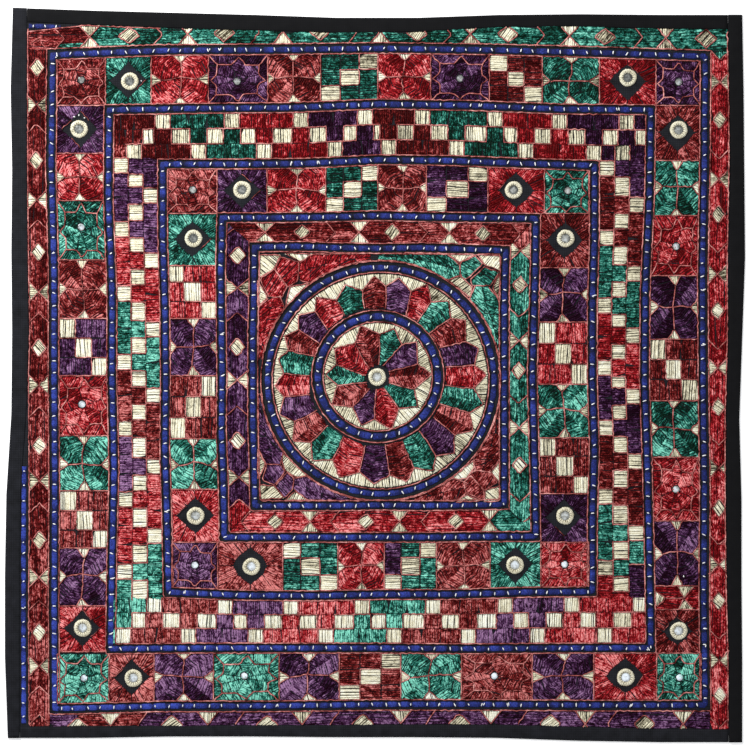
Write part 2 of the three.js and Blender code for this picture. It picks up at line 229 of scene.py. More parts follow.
# Board under the cloth, painted matt: plain white, bright enough to show no shadow of the room
def boardMaterial():
    white = linear("FFFFFF")
    finish = {"Roughness": 0.9, "Base Color": white, "Emission Color": white, "Emission Strength": 0.25}
    return newMaterial("mattPaintedBoard", finish)[0]


# Dark, middle and light of each dyed floss, how strongly its painted crinkle light and shade show, and its
# roughness
threads = {
    "red": ("4C0205", "B6222B", "FFA09E", 2.7, 0.36),
    "maroon": ("2E0405", "832424", "E68C88", 2.7, 0.36),
    "purple": ("18040F", "4E2A50", "A27AA2", 2.7, 0.36),
    "teal": ("05180F", "287869", "92E8D0", 2.7, 0.36),
    "cream": ("3E3420", "ECE4C4", "FFFFF0", 1.0, 0.36),
    "cord": ("38080A", "B0605C", "F8B4AC", 1.3, 0.5),
}
flossOrder = list(threads)


# Meshes are gathered in a batch and made into one object at the end.
# A point is (x, y, z, u, v, tone), where u and v are its place along and across the threads.

def newBatch():
    return {"points": [], "faces": [], "paint": []}


def addGrid(batch, rows, paint, closed=False):
    start = len(batch["points"])
    across = len(rows[0])
    for row in rows:
        batch["points"].extend(row)
    for i in range(len(rows) if closed else len(rows) - 1):
        low = start + i * across
        high = start + (i + 1) % len(rows) * across
        for j in range(across - 1):
            batch["faces"].append((low + j, low + j + 1, high + j + 1, high + j))
            batch["paint"].append(paint)


def weld(mesh):
    welder = bmesh.new()
    welder.from_mesh(mesh)
    bmesh.ops.remove_doubles(welder, verts=welder.verts, dist=1e-6)
    bmesh.ops.recalc_face_normals(welder, faces=welder.faces)
    welder.to_mesh(mesh)
    welder.free()


def makePiece(name, batch, materials, node=None, welded=False):
    points, faces = batch["points"], batch["faces"]
    mesh = bpy.data.meshes.new(name)
    mesh.from_pydata([(x * mm, y * mm, z * mm) for x, y, z, u, v, tone in points], [], faces)
    for material in materials:
        mesh.materials.append(material)
    mesh.polygons.foreach_set("material_index", batch["paint"])
    mesh.polygons.foreach_set("use_smooth", [True] * len(faces))
    mesh.attributes.new("tone", "FLOAT", "POINT").data.foreach_set("value", [point[5] for point in points])
    uv = [value for face in faces for corner in face for value in points[corner][3:5]]
    mesh.uv_layers.new(name="thread").data.foreach_set("uv", uv)
    mesh.update()
    if welded:
        weld(mesh)
    piece = newObject(name, mesh)
    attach(piece, "root")
    if node:
        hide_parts(node)
    print(name, sum(len(face) - 2 for face in faces), "triangles")
    return piece


# Layout: how far each uneven side lies from the middle, at even steps along it

outerEdge = {
    "top": [514, 510, 507, 504, 500, 500, 504, 505, 504, 504],
    "bottom": [508, 508, 506, 506, 507, 507, 508, 512, 514, 514],
    "left": [507, 510, 508, 509, 508, 509, 516, 518, 518, 514],
    "right": [514, 516, 517, 518, 514, 510, 513, 513, 514, 514],
}
innerEdge = {
    "top": [494, 489, 485, 482, 479, 480, 487, 488, 485, 484],
    "bottom": [492, 491, 491, 490, 490, 489, 489, 492, 495, 496],
    "left": [487, 487, 487, 486, 484, 488, 496, 497, 497, 497],
    "right": [494, 496, 497, 497, 494, 491, 491, 492, 495, 495],
}
braidSquares = [
    {
        "top": [448, 454, 455, 457, 455, 451, 446],
        "bottom": [467, 463, 463, 461, 461, 462, 462],
        "left": [451, 453, 449, 449, 448, 449, 448],
        "right": [462, 461, 458, 459, 461, 460, 462],
    },
    {
        "top": [371, 373, 374, 379, 377, 372, 371],
        "bottom": [383, 382, 382, 382, 383, 382, 382],
        "left": [372, 373, 368, 368, 365, 368, 370],
        "right": [386, 384, 378, 377, 381, 384, 386],
    },
    {
        "top": [295, 295, 296, 301, 300, 296, 293],
        "bottom": [304, 308, 309, 307, 307, 304, 303],
        "left": [297, 297, 294, 293, 294, 291, 289],
        "right": [307, 307, 304, 304, 307, 304, 304],
    },
    {
        "top": [220, 220, 221, 223, 221, 220, 219],
        "bottom": [227, 227, 227, 227, 227, 226, 226],
        "left": [214, 216, 215, 214, 215, 212, 211],
        "right": [225, 224, 222, 220, 222, 224, 225],
    },
    {
        "top": [179, 180, 178, 177, 178, 176, 174],
        "bottom": [183, 183, 183, 182, 183, 182, 181],
        "left": [169, 169, 171, 171, 171, 169, 168],
        "right": [183, 181, 181, 181, 181, 181, 181],
    },
]
# Outer edge of the outer chevron band, which the border covers in places
chevronEdge = {
    "top": [480, 489, 491, 493, 499, 499, 497, 489, 493, 490, 488, 489, 487],
    "bottom": [513, 509, 509, 507, 507, 508, 508],
    "left": [486.5, 488.5, 484.5, 484.5, 483.5, 484.5, 483.5],
    "right": [496.5, 495.5, 492.5, 493.5, 495.5, 494.5, 496.5],
}
ringOuter = {"x": 8, "y": -8, "radius": 158.5}
ringInner = {"x": 4, "y": -2, "radius": 84}
cordOff = 7.0  # the couched cords lie this far from the middle of a braid
sides = ["top", "right", "bottom", "left"]
level = ("top", "bottom")
upright = ("left", "right")
dice = random.Random(11)


# A random number from -most to most
def jitter(most):
    return dice.uniform(-most, most)


def lerp(a, b, t):
    return a + (b - a) * t


def midpoint(a, b, t=0.5):
    return (lerp(a[0], b[0], t), lerp(a[1], b[1], t))


def angleOf(a, b):
    return math.degrees(math.atan2(b[1] - a[1], b[0] - a[0]))


def middleOf(points):
    return (sum(p[0] for p in points) / len(points), sum(p[1] for p in points) / len(points))


def numbers(words):
    return [float(word) for word in words.split()]


# Smooth noise from -1 to 1 in patches of a size
def patches(x, y, size, layer):
    return noise.noise((x / size, y / size, layer))


# Distance of one side from the middle of the cloth, at a place along that side
def edgeAt(square, side, at):
    start, end = upright if side in level else level
    last = -1 if side in ("bottom", "right") else 0
    low, high = -square[start][last], square[end][last]
    distances = square[side]
    steps = len(distances) - 1
    s = min(max((at - low) / (high - low), 0), 1) * steps
    i = min(int(s), steps - 1)
    return lerp(distances[i], distances[i + 1], s - i)


def place(side, at, distance):
    return {
        "top": (at, distance),
        "bottom": (at, -distance),
        "left": (-distance, -at),
        "right": (distance, -at),
    }[side]


def alongOf(side, p):
    return p[0] if side in level else -p[1]


def outOf(side, p):
    return {"top": p[1], "bottom": -p[1], "left": -p[0], "right": p[0]}[side]


# A band runs between two squares, its outer one grown by a shift. Depth is 0 at its outer edge and 1 at its
# inner edge.

def bandDistance(band, side, at, depth):
    far = edgeAt(band["outer"], side, at) + band["shift"]
    near = edgeAt(band["inner"], side, at) + cordOff
    return lerp(far, near, depth)


def bandPoint(band, side, at, depth):
    return place(side, at, bandDistance(band, side, at, depth))


def cornersOf(square, grow):
    return {
        "topLeft": (-square["left"][0] - grow, square["top"][0] + grow),
        "topRight": (square["right"][0] + grow, square["top"][-1] + grow),
        "bottomLeft": (-square["left"][-1] - grow, -square["bottom"][0] - grow),
        "bottomRight": (square["right"][-1] + grow, -square["bottom"][-1] - grow),
    }


# Closed line of an uneven square grown by grow, clockwise from its top left corner
def squareLine(square, grow):
    c = cornersOf(square, grow)
    steps = len(square["top"]) - 1
    line = []
    for i in range(steps):
        line.append((lerp(c["topLeft"][0], c["topRight"][0], i / steps), square["top"][i] + grow))
    for i in range(steps):
        line.append((square["right"][i] + grow, lerp(c["topRight"][1], c["bottomRight"][1], i / steps)))
    for i in range(steps, 0, -1):
        line.append((lerp(c["bottomLeft"][0], c["bottomRight"][0], i / steps), -square["bottom"][i] - grow))
    for i in range(steps, 0, -1):
        line.append((-square["left"][i] - grow, lerp(c["topLeft"][1], c["bottomLeft"][1], i / steps)))
    return line


def ringPoint(ring, angle, grow=0.0):
    reach = ring["radius"] + grow
    a = math.radians(angle)
    return (ring["x"] + reach * math.cos(a), ring["y"] + reach * math.sin(a))


def smoothRing(ring, grow=0.0, steps=96):
    return [ringPoint(ring, 90 - k * 360 / steps, grow) for k in range(steps)]


# Keeps the part of an outline where inside(point) is above zero
def clip(outline, inside):
    kept = []
    for i, here in enumerate(outline):
        after = outline[(i + 1) % len(outline)]
        a, b = inside(here), inside(after)
        if a >= 0:
            kept.append(here)
        if (a > 0 > b) or (a < 0 < b):
            kept.append(midpoint(here, after, a / (a - b)))
    return kept


def leftOf(a, b):
    return lambda p: (b[0] - a[0]) * (p[1] - a[1]) - (b[1] - a[1]) * (p[0] - a[0])


# Points of a line at even steps
def resample(line, step, closed=False):
    points = line + [line[0]] if closed else line
    lengths = [math.dist(points[i], points[i + 1]) for i in range(len(points) - 1)]
    total = sum(lengths)
    count = max(2, round(total / step))
    result = []
    i, passed = 0, 0.0
    for k in range(count if closed else count + 1):
        target = total * k / count
        while i < len(lengths) - 1 and passed + lengths[i] < target:
            passed += lengths[i]
            i += 1
        t = (target - passed) / lengths[i] if lengths[i] else 0.0
        result.append(midpoint(points[i], points[i + 1], t))
    return result


# Each point of a line with the direction across it
def withAcross(points, closed):
    n = len(points)
    for k, (x, y) in enumerate(points):
        before = points[k - 1] if closed or k > 0 else points[k]
        after = points[(k + 1) % n] if closed or k < n - 1 else points[k]
        dx, dy = after[0] - before[0], after[1] - before[1]
        size = math.hypot(dx, dy) or 1.0
        yield x, y, -dy / size, dx / size


# The cloth isn't quite flat: soft puckers, and the two creases where it was stored folded in four

swell = {
    "puckerHeight": 0.5,
    "puckerSize": 24.0,
    "creaseX": 0.0,
    "creaseY": -35.0,
    "creaseWidth": 13.0,
    "creaseDepth": 0.5,
}


def creaseAt(off):
    return swell["creaseDepth"] * max(0.0, 1 - abs(off) / swell["creaseWidth"])


def lie(x, y):
    height = swell["puckerHeight"] * (0.5 + 0.5 * patches(x, y, swell["puckerSize"], 3.0))
    return height - creaseAt(x - swell["creaseX"]) - creaseAt(y - swell["creaseY"])


# Satin stitch, worked in groups of threads

satinStyle = {
    "low": 1.35,
    "rise": 0.95,
    "bundle": 3.2,  # mean width of a group of threads
    "least": 0.8,  # an outline narrower than this stays bare
    "gapChance": 0.3,
    "darkGap": 0.8,
    "closeGap": 0.08,
    "edge": 0.55,  # bare ground between the needle holes and the cord
    "seamReach": 1.6,  # threads that end this near a seam run into it without a gap
    "crinkle": 0.55,  # height of the crinkles
    "crinkleSize": 8.0,
    "tone": 0.47,
    # painted sheen: threads lying at lightAngle are painted brightest and threads across it darkest
    "lightAngle": 118.0,  # threads lying this way look brightest
    "paintedSheenDepth": 0.12,
}


# Where a line across the outline at height v enters and leaves it, in turned coordinates
def spanAt(outline, v):
    hits = []
    for i, (u0, v0) in enumerate(outline):
        u1, v1 = outline[(i + 1) % len(outline)]
        if (v0 <= v < v1) or (v1 <= v < v0):
            hits.append(lerp(u0, u1, (v - v0) / (v1 - v0)))
    return (min(hits), max(hits)) if len(hits) > 1 else None


# Painted light: the lower left is painted brighter and the upper right a little darker, as the light falls;
# uneven tone in patches about 60 mm across is added
def paintedLightAndPatches(x, y):
    towardLight = -(x + y) / 500
    return (0.13 if towardLight > 0 else 0.03) * towardLight + 0.12 * patches(x, y, 60, 8.0)


def nearLine(point, line):
    (ax, ay), (bx, by) = line
    size = math.dist(line[0], line[1]) or 1.0
    return abs((bx - ax) * (point[1] - ay) - (by - ay) * (point[0] - ax)) / size < satinStyle["seamReach"]


# Fills an outline with satin stitch lying at an angle; at a seam the threads meet their neighbours
def satin(batch, outline, angle, thread, shade=0.0, bundle=None, spread=0.18, gaps=None, edge=None, seam=()):
    if len(outline) < 3:
        return
    edge = satinStyle["edge"] if edge is None else edge
    margin = 0.0 if seam else edge
    a = math.radians(angle)
    ca, sa = math.cos(a), math.sin(a)
    turned = [(x * ca + y * sa, -x * sa + y * ca) for x, y in outline]
    v = min(v for u, v in turned) + margin
    vHigh = max(v for u, v in turned) - margin
    if vHigh - v < satinStyle["least"]:
        return
    width = bundle or satinStyle["bundle"]
    gapChance = satinStyle["gapChance"] if gaps is None else gaps
    # painted light over the whole cloth, with patches of uneven tone
    tone = satinStyle["tone"] + shade + paintedLightAndPatches(*outline[0]) + jitter(0.05)
    # painted sheen by the threads' angle to the light
    tone += satinStyle["paintedSheenDepth"] * math.cos(math.radians(2 * (angle - satinStyle["lightAngle"])))
    drift = 0.0
    while v < vHigh - satinStyle["least"] / 2:
        step = width * dice.uniform(0.6, 1.45)
        if vHigh - v - step < width * 0.5:
            step = vHigh - v
        gapped = dice.random() < gapChance
        gap = satinStyle["darkGap"] * dice.uniform(0.6, 1.4) if gapped else satinStyle["closeGap"]
        span = spanAt(turned, v + 0.5 * step)
        low = spanAt(turned, v + 0.02 * step) or span
        high = spanAt(turned, v + 0.98 * step) or span
        drift = 0.7 * drift + jitter(spread)
        if low and high:
            w = v + step / 2
            ends = []
            for u in ((low[0] + high[0]) / 2, (low[1] + high[1]) / 2):
                ends.append(bool(seam) and nearLine((u * ca - w * sa, u * sa + w * ca), seam))
            bundleTone = (flossOrder.index(thread), tone + drift)
            addBundle(batch, low, high, v, step - gap, (ca, sa), bundleTone, edge, ends)
        v += step


# One group of threads. ends says of its first and its last end whether it runs into a seam.
def addBundle(batch, low, high, v, width, turn, colour, edge, ends):
    ca, sa = turn
    paint, tone = colour
    inset = [-0.1 if soft else edge for soft in ends]
    length = (high[1] - high[0] + low[1] - low[0]) / 2 - sum(inset)
    if length < 1.0 or width < 0.4:
        return
    short = min(0.25, 1.1 / length)
    spans = max(1, round(length / 7))
    stations = [0.0] + [lerp(short, 1 - short, k / spans) for k in range(spans + 1)] + [1.0]
    rise = satinStyle["rise"] * dice.uniform(0.75, 1.2) * min(1.0, 0.55 + width / 6)
    bow = jitter(0.6)
    skew = jitter(0.5)
    roughness = [dice.uniform(-0.4, 0.5) for k in (0, 1)]
    ragged = [0 if soft else roughness[k] for k, soft in enumerate(ends)]
    rows = []
    for s in stations:
        # painted shade: ends that dive into needle holes are painted darker
        crown, endShade, shrink = 1.0, 0.0, 1.0
        if s in (0.0, 1.0):
            crown, endShade, shrink = (0.8, 0.04, 1.0) if ends[int(s)] else (0.2, 0.38, 0.86)
        sag = 1 - 0.25 * (2 * s - 1) ** 2
        row = []
        for across, profile in ((0.0, 0.0), (0.25, 0.92), (0.72, 1.0), (1.0, 0.0)):
            first = lerp(low[0], high[0], across) + inset[0] + ragged[0]
            last = lerp(low[1], high[1], across) - inset[1] - ragged[1]
            u = lerp(first, last, s)
            w = v + width * (0.5 + (across - 0.5) * shrink) + bow * math.sin(math.pi * s) + skew * (s - 0.5)
            x, y = u * ca - w * sa, u * sa + w * ca
            fold = satinStyle["crinkle"] * patches(x, y, satinStyle["crinkleSize"], 27.0)
            z = satinStyle["low"] + lie(x, y) + max(0.0, rise * crown * sag + fold) * profile
            # painted light on the crinkle tops; painted shade at the ends and along the edges where the group
            # meets the ground
            row.append((x, y, z, u, w, tone + 0.35 * fold - endShade - (0.26 if profile == 0.0 else 0.0)))
        rows.append(row)
    addGrid(batch, rows, paint)


# Couched cord: a thin round thread laid on the surface along a line and caught down

cordStyle = {
    "radius": 0.95,
    "low": 2.2,
    "step": 5.0,
    "wander": 1.5,  # how far it strays to the side
    "pinch": 0.22,
    "height": 1.25,  # of the cord, as a share of its radius
    "tone": 0.55,
    # painted shade along the cord's foot, where it meets the cloth
    "foot": 0.55,  # how much darker it is where it meets the cloth
}


def couch(batch, line, closed=False, radius=None, shade=0.0):
    if len(line) < 2:
        return
    radius = radius or cordStyle["radius"]
    points = resample(line, cordStyle["step"], closed)
    run = dice.uniform(0, 50)
    rows = []
    for k, (x, y, nx, ny) in enumerate(withAcross(points, closed)):
        off = cordStyle["wander"] * noise.noise((run + k * 0.9, 5.0, 1.0))
        x, y = x + nx * off, y + ny * off
        pinch = 1 + cordStyle["pinch"] * noise.noise((run + k * 1.7, 9.0, 1.0))
        tone = cordStyle["tone"] + shade + 0.45 * patches(x, y, 30, 14.0)
        tone += 0.5 * noise.noise((run + k * 0.8, 2.0, 4.0))
        ground = cordStyle["low"] + lie(x, y)
        row = []
        for turn in (0, 60, 120, 180):
            t = math.radians(turn)
            reach = radius * pinch * math.cos(t)
            z = ground + radius * cordStyle["height"] * math.sin(t)
            # painted shade along the cord's foot, where it meets the cloth
            foot = cordStyle["foot"] if turn in (0, 180) else 0.0
            row.append((x + nx * reach, y + ny * reach, z, k * cordStyle["step"], reach, tone - foot))
        rows.append(row)
    addGrid(batch, rows, flossOrder.index("cord"), closed)


# Outer and inner chevron bands. Hourglasses, diamonds and chevrons divide a side into fields. waist is half
# an hourglass's width, size is a diamond's half length and its reach across the band, and points says which
# way the chevrons point.

chevronBands = {
    "outerChevrons": {
        "band": {"outer": chevronEdge, "inner": braidSquares[0], "shift": 0},
        "corners": "butted",
        "lean": 7.0,
        "end": 560.0,
        "sides": {
            "top": {
                "waist": 14.5, "size": (15.5, 0.37), "points": 1, "shade": -0.04,
                "colours": "maroon -406 teal 600",
                "hourglass": "-399 -262 -129 7 134 272 407",
                "diamond": "-344 -211 -77 59 186 322 463",
                "chevron": "-441 -304 -168 -31 101 231 368",
                # the lower field after this chevron was pieced with teal at its foot
                "pieced": {"after": -441, "thread": "teal", "depth": 0.74},
            },
            "left": {
                "waist": 14.5, "size": (14.0, 0.36), "points": -1, "shade": -0.3,
                "colours": "maroon 600",
                "hourglass": "-378 -245 -116 14 148 283 407",
                "diamond": "-430 -300 -172 -38 99 231 360",
                "chevron": "-473 -344 -210 -80 52 186 322 442 482",
            },
            "right": {
                "waist": 14.0, "size": (13.5, 0.36), "points": 1, "shade": -0.12,
                "colours": "teal -446 red 600",
                "hourglass": "-410 -274 -141 -10 130 265 399",
                "diamond": "-357 -225 -90 45 186 316 448",
                "chevron": "-447 -309 -178 -43 91 231 363 486",
            },
            "bottom": {
                "waist": 15.5, "size": (15.5, 0.36), "points": -1, "shade": 0.0,
                "colours": "purple -406 maroon -326 purple 600",
                "hourglass": "-370 -234 -102 36 162 294 431",
                "diamond": "-416 -284 -151 -17 118 245 377",
                "chevron": "-325 -189 -56 78 207 332",
            },
        },
    },
    "innerChevrons": {
        "band": {"outer": braidSquares[3], "inner": braidSquares[4], "shift": -cordOff},
        "corners": "mitred",
        "lean": 6.5,
        "end": 250.0,
        "sides": {
            "top": {
                "waist": 14.0, "size": (12.5, 0.38), "points": 1, "shade": 0.03,
                "colours": "maroon 600",
                "hourglass": "-154 -22 104",
                "diamond": "-102 24 151",
                "chevron": "-62 67 197",
            },
            "left": {
                "waist": 13.0, "size": (13.5, 0.37), "points": -1, "shade": -0.2,
                "colours": "purple 180 red 600",
                "hourglass": "-122 7 143",
                "diamond": "-167 -39 92",
                "chevron": "-203 -81 50 180",
            },
            "right": {
                "waist": 13.0, "size": (12.5, 0.37), "points": 1, "shade": 0.0,
                "colours": "maroon -178 teal 600",
                "hourglass": "-174 -48 74",
                "diamond": "-126 -6 126",
                "chevron": "-87 34 171 204",
            },
            "bottom": {
                "waist": 13.0, "size": (12.5, 0.37), "points": -1, "shade": 0.05,
                "colours": "red 168 teal 600",
                "hourglass": "-91 34 160",
                "diamond": "-140 -13 113",
                "chevron": "-181 -56 71",
            },
        },
    },
}
# The corners at the start and the end of each side, and whether an outer side runs through the corner there
# or ends against the other side
sideEnds = {
    "top": {"corners": ("topLeft", "topRight"), "through": (True, True)},
    "right": {"corners": ("topRight", "bottomRight"), "through": (False, True)},
    "bottom": {"corners": ("bottomLeft", "bottomRight"), "through": (False, False)},
    "left": {"corners": ("topLeft", "bottomLeft"), "through": (False, True)},
}


# Colour changes along a side: each name holds up to the place that follows it
def colourAt(words, at):
    parts = words.split()
    for name, limit in zip(parts[::2], parts[1::2]):
        if at < float(limit):
            return name
    return parts[-2]


# Outline of one divider's flank, as (place along, depth) from the middle of the band to one edge
def flank(kind, at, settings, direction, mirrored):
    half, reach = settings["size"]
    lean = settings["lean"] * settings["points"]
    centre = 0.56  # a little past the middle, so that the two halves of a field lie close
    if kind == "hourglass":
        line = [(at, centre), (at + direction * settings["waist"], 0.0)]
    elif kind == "diamond":
        line = [(at + direction * half, centre), (at, 0.5 - reach), (at, 0.0)]
    else:
        line = [(at + lean, centre), (at - lean, 0.0)]
    return [(a, 1 - d) for a, d in line] if mirrored else line


# Cuts a side's outlines at the diagonals of its two corners
def mitredTrim(band, side):
    outer, inner = cornersOf(band["outer"], band["shift"]), cornersOf(band["inner"], cordOff)
    start, end = sideEnds[side]["corners"]
    sign = 1 if side in ("bottom", "left") else -1
    diagonals = (leftOf(inner[start], outer[start]), leftOf(outer[end], inner[end]))

    def trim(outline):
        for diagonal in diagonals:
            outline = clip(outline, lambda p: sign * diagonal(p))
        return outline

    return trim


# How far inside one side of a square a point lies, when the square is grown by grow
def insideSide(square, grow, side, p):
    return edgeAt(square, side, alongOf(side, p)) + grow - outOf(side, p)


# Cuts a side's outlines at the border, and where they meet the sides next to them
def buttedTrim(band, side):
    def trim(outline):
        outline = clip(outline, lambda p: insideSide(innerEdge, 0.0, side, p))
        for other, through in zip(upright if side in level else level, sideEnds[side]["through"]):
            square, grow = (innerEdge, 0.0) if through else (band["inner"], cordOff)
            outline = clip(outline, lambda p: insideSide(square, grow, other, p))
        return outline

    return trim


# The part of an open line that a trim leaves, found by trimming it as thin slivers
def openTrim(line, trim):
    kept = []
    for x, y in resample(line, 2.5):
        if len(trim([(x - 0.1, y - 0.1), (x + 0.1, y - 0.1), (x, y + 0.1)])) > 2:
            kept.append((x, y))
    return kept


def fillChevronSide(cloth, cords, name, side):
    settings = {**chevronBands[name], **chevronBands[name]["sides"][side]}
    trim = (buttedTrim if settings["corners"] == "butted" else mitredTrim)(settings["band"], side)
    along = 0 if side in level else 90
    kinds = ("hourglass", "diamond", "chevron")
    dividers = sorted([(kind, at) for kind in kinds for at in numbers(settings[kind])], key=lambda d: d[1])
    dividers = [("chevron", -settings["end"])] + dividers + [("chevron", settings["end"])]
    point = lambda a, d: bandPoint(settings["band"], side, a, d)
    for mirrored in (False, True):
        for (kindA, atA), (kindB, atB) in zip(dividers, dividers[1:]):
            shape = flank(kindA, atA, settings, 1, mirrored) + flank(kindB, atB, settings, -1, mirrored)[::-1]
            outline = trim([point(a, d) for a, d in shape])
            if len(outline) < 3:
                continue
            # painted light: a side's shade paints all its fields darker or brighter as the light falls on
            # that side, the left darkest
            shade = settings["shade"] + dice.uniform(-0.14, 0.1)
            fields = [(outline, colourAt(settings["colours"], (atA + atB) / 2))]
            pieced = settings.get("pieced")
            if pieced and mirrored and atA == pieced["after"]:
                low, high = point(atA - 20, pieced["depth"]), point(atB + 20, pieced["depth"])
                foot = clip(outline, leftOf(high, low))
                fields = [(clip(outline, leftOf(low, high)), fields[0][1]), (foot, pieced["thread"])]
            turn = along + jitter(4)
            for field, thread in fields:
                satin(cloth, field, turn, thread, shade, gaps=0.1, edge=0.2)
    # the creams follow their side's painted light
    paler = 0.08 + 0.4 * settings["shade"]
    for kind, at in dividers[1:-1]:
        if kind == "hourglass":
            w = settings["waist"]
            for edge in (0.0, 1.0):
                outline = trim([point(at, 0.5), point(at - w, edge), point(at + w, edge)])
                turn = along + 90 + jitter(8)
                satin(cloth, outline, turn, "cream", paler, 2.6, gaps=0.4, edge=0.25)
            for line in ([point(at - w, 0.0), point(at + w, 1.0)], [point(at + w, 0.0), point(at - w, 1.0)]):
                couch(cords, openTrim(line, trim))
        elif kind == "diamond":
            half, reach = settings["size"]
            corners = [(at, 0.5 - reach), (at + half, 0.5), (at, 0.5 + reach), (at - half, 0.5)]
            outline = [point(a, d) for a, d in corners]
            turn = along + 45 + jitter(12)
            satin(cloth, trim(outline), turn, "cream", paler, 2.6, gaps=0.4, edge=0.3)
            couch(cords, openTrim(outline + outline[:1], trim))
        else:
            k = settings["lean"] * settings["points"]
            couch(cords, openTrim([point(at - k, 0.0), point(at + k, 0.5), point(at - k, 1.0)], trim))


# Patchwork bands: blocks in a row, each given as its motif, its thread and the place where it ends

frames = {
    "outerPatchwork": {
        "band": {"outer": braidSquares[0], "inner": braidSquares[1], "shift": -cordOff},
        "blocks": {
            "top": "-445 star maroon -377 mirror teal -313 petals red -233 star purple -150 "
            "petals maroon -76 rising teal 4 petals red 78 star purple 160 falling maroon 234 "
            "petals teal 314 mirror red 393 star purple 455",
            "left": "-377 mirror purple -310 petals red -244 star teal -161 petals maroon -79 "
            "falling purple 1 star red 85 petals teal 162 falling maroon 242 petals purple 323 "
            "mirror red 387",
            "right": "-377 mirror maroon -300 petals teal -223 star red -139 petals purple -50 "
            "falling maroon 36 petals teal 115 star red 204 petals purple 295 scrap red 328 "
            "smallMirror maroon 389",
            "bottom": "-444 star teal -372 mirror maroon -309 petals purple -226 star teal -134 "
            "petals purple -50 rising maroon 36 petals teal 121 star maroon 220 petals purple 306 "
            "mirror red 394 star teal 456",
        },
        # painted light: shade paints each side darker or brighter as the light falls on it, the top darkest
        # and the bottom brightest
        "shade": {"top": -0.09, "left": -0.05, "right": -0.04, "bottom": 0.06},
    },
    "innerPatchwork": {
        "band": {"outer": braidSquares[2], "inner": braidSquares[3], "shift": -cordOff},
        "blocks": {
            "top": "-290 star maroon -221 mirror purple -151 petals red -69 rising teal 4 petals maroon 72 "
            "rising purple 158 mirror red 237 star teal 299",
            "left": "-226 mirror teal -153 falling red -79 petals purple 1 rising maroon 89 petals teal 160 "
            "mirror red 234",
            "right": "-226 mirror maroon -150 petals purple -74 falling red 13 petals teal 88 "
            "falling maroon 166 mirror purple 234",
            "bottom": "-284 star purple -220 mirror maroon -129 falling teal -52 petals red 13 "
            "rising purple/teal 86 petals maroon 161 mirror teal 232 star red 299",
        },
        "shade": {"top": -0.04, "left": 0.04, "right": 0.0, "bottom": 0.08},
    },
}
purpleShade = -0.09
blockCorners = [(0, 0), (1, 0), (1, 1), (0, 1)]


# Places inside a block run right and down from its upper left corner, each from 0 to 1. at turns one into a
# point of the cloth, and on does the same for several.

def blockPoint(band, side, start, end, right, down):
    along = lerp(start, end, right if side in level else down)
    depth = {"top": down, "bottom": 1 - down, "left": right, "right": 1 - right}[side]
    return bandPoint(band, side, along, depth)


def on(at, *places):
    return [at(*p) for p in places]


petalStyle = {
    "wide": 0.13,  # half the width of a cream triangle
    "deep": 0.17,  # its height
    "stray": 0.04,
    "tilt": 74,  # degrees between a leaf's threads and its seam
}


# Four leaves that meet in the middle, each with a bright and a dark half of painted sheen where the threads
# lie two ways, and four cream triangles
def petals(cloth, cords, at, thread, shade):
    wide, deep, stray = petalStyle["wide"], petalStyle["deep"], petalStyle["stray"]
    centre = (0.49 + jitter(stray), 0.48 + jitter(stray))
    mids = {"top": (0.5, 0), "right": (1, 0.5), "bottom": (0.5, 1), "left": (0, 0.5)}
    tips = {
        "top": (0.5 + jitter(stray), deep * dice.uniform(0.8, 1.2)),
        "right": (1 - deep * dice.uniform(0.8, 1.2), 0.5 + jitter(stray)),
        "bottom": (0.5 + jitter(stray), 1 - deep * dice.uniform(0.8, 1.2)),
        "left": (deep * dice.uniform(0.8, 1.2), 0.5 + jitter(stray)),
    }
    for name, (mx, my) in mids.items():
        base = [(mx - wide, my), (mx + wide, my)] if name in level else [(mx, my - wide), (mx, my + wide)]
        tip = tips[name]
        turn = angleOf(at(*tip), at(mx, my))
        satin(cloth, on(at, *base, tip), turn + jitter(10), "cream", 0.1, 2.2, edge=0.2)
        couch(cords, on(at, base[0], tip, base[1]), radius=0.8)
        bend = [lerp(tip[k], centre[k], 0.5) + jitter(0.02) for k in (0, 1)]
        couch(cords, on(at, tip, bend, centre))
    leaves = [
        ((0, 0), [(0.5 - wide, 0), tips["top"]], [(0, 0.5 - wide), tips["left"]]),
        ((1, 0), [(0.5 + wide, 0), tips["top"]], [(1, 0.5 - wide), tips["right"]]),
        ((1, 1), [(0.5 + wide, 1), tips["bottom"]], [(1, 0.5 + wide), tips["right"]]),
        ((0, 1), [(0.5 - wide, 1), tips["bottom"]], [(0, 0.5 + wide), tips["left"]]),
    ]
    for corner, one, two in leaves:
        seam = on(at, corner, centre)
        crease = angleOf(*seam)
        flip = dice.choice((-1, 1))
        lift = jitter(0.08)
        for half, sign in ((one, 1), (two, -1)):
            tilt = petalStyle["tilt"] * sign * (1 if corner in ((0, 0), (1, 1)) else -1)
            # painted sheen: one half of the leaf brighter, the other darker
            tone = shade + lift + flip * sign * dice.uniform(0.05, 0.17)
            turn = crease + tilt + jitter(8)
            satin(cloth, on(at, corner, *half, centre), turn, thread, tone, gaps=0.28, seam=seam)


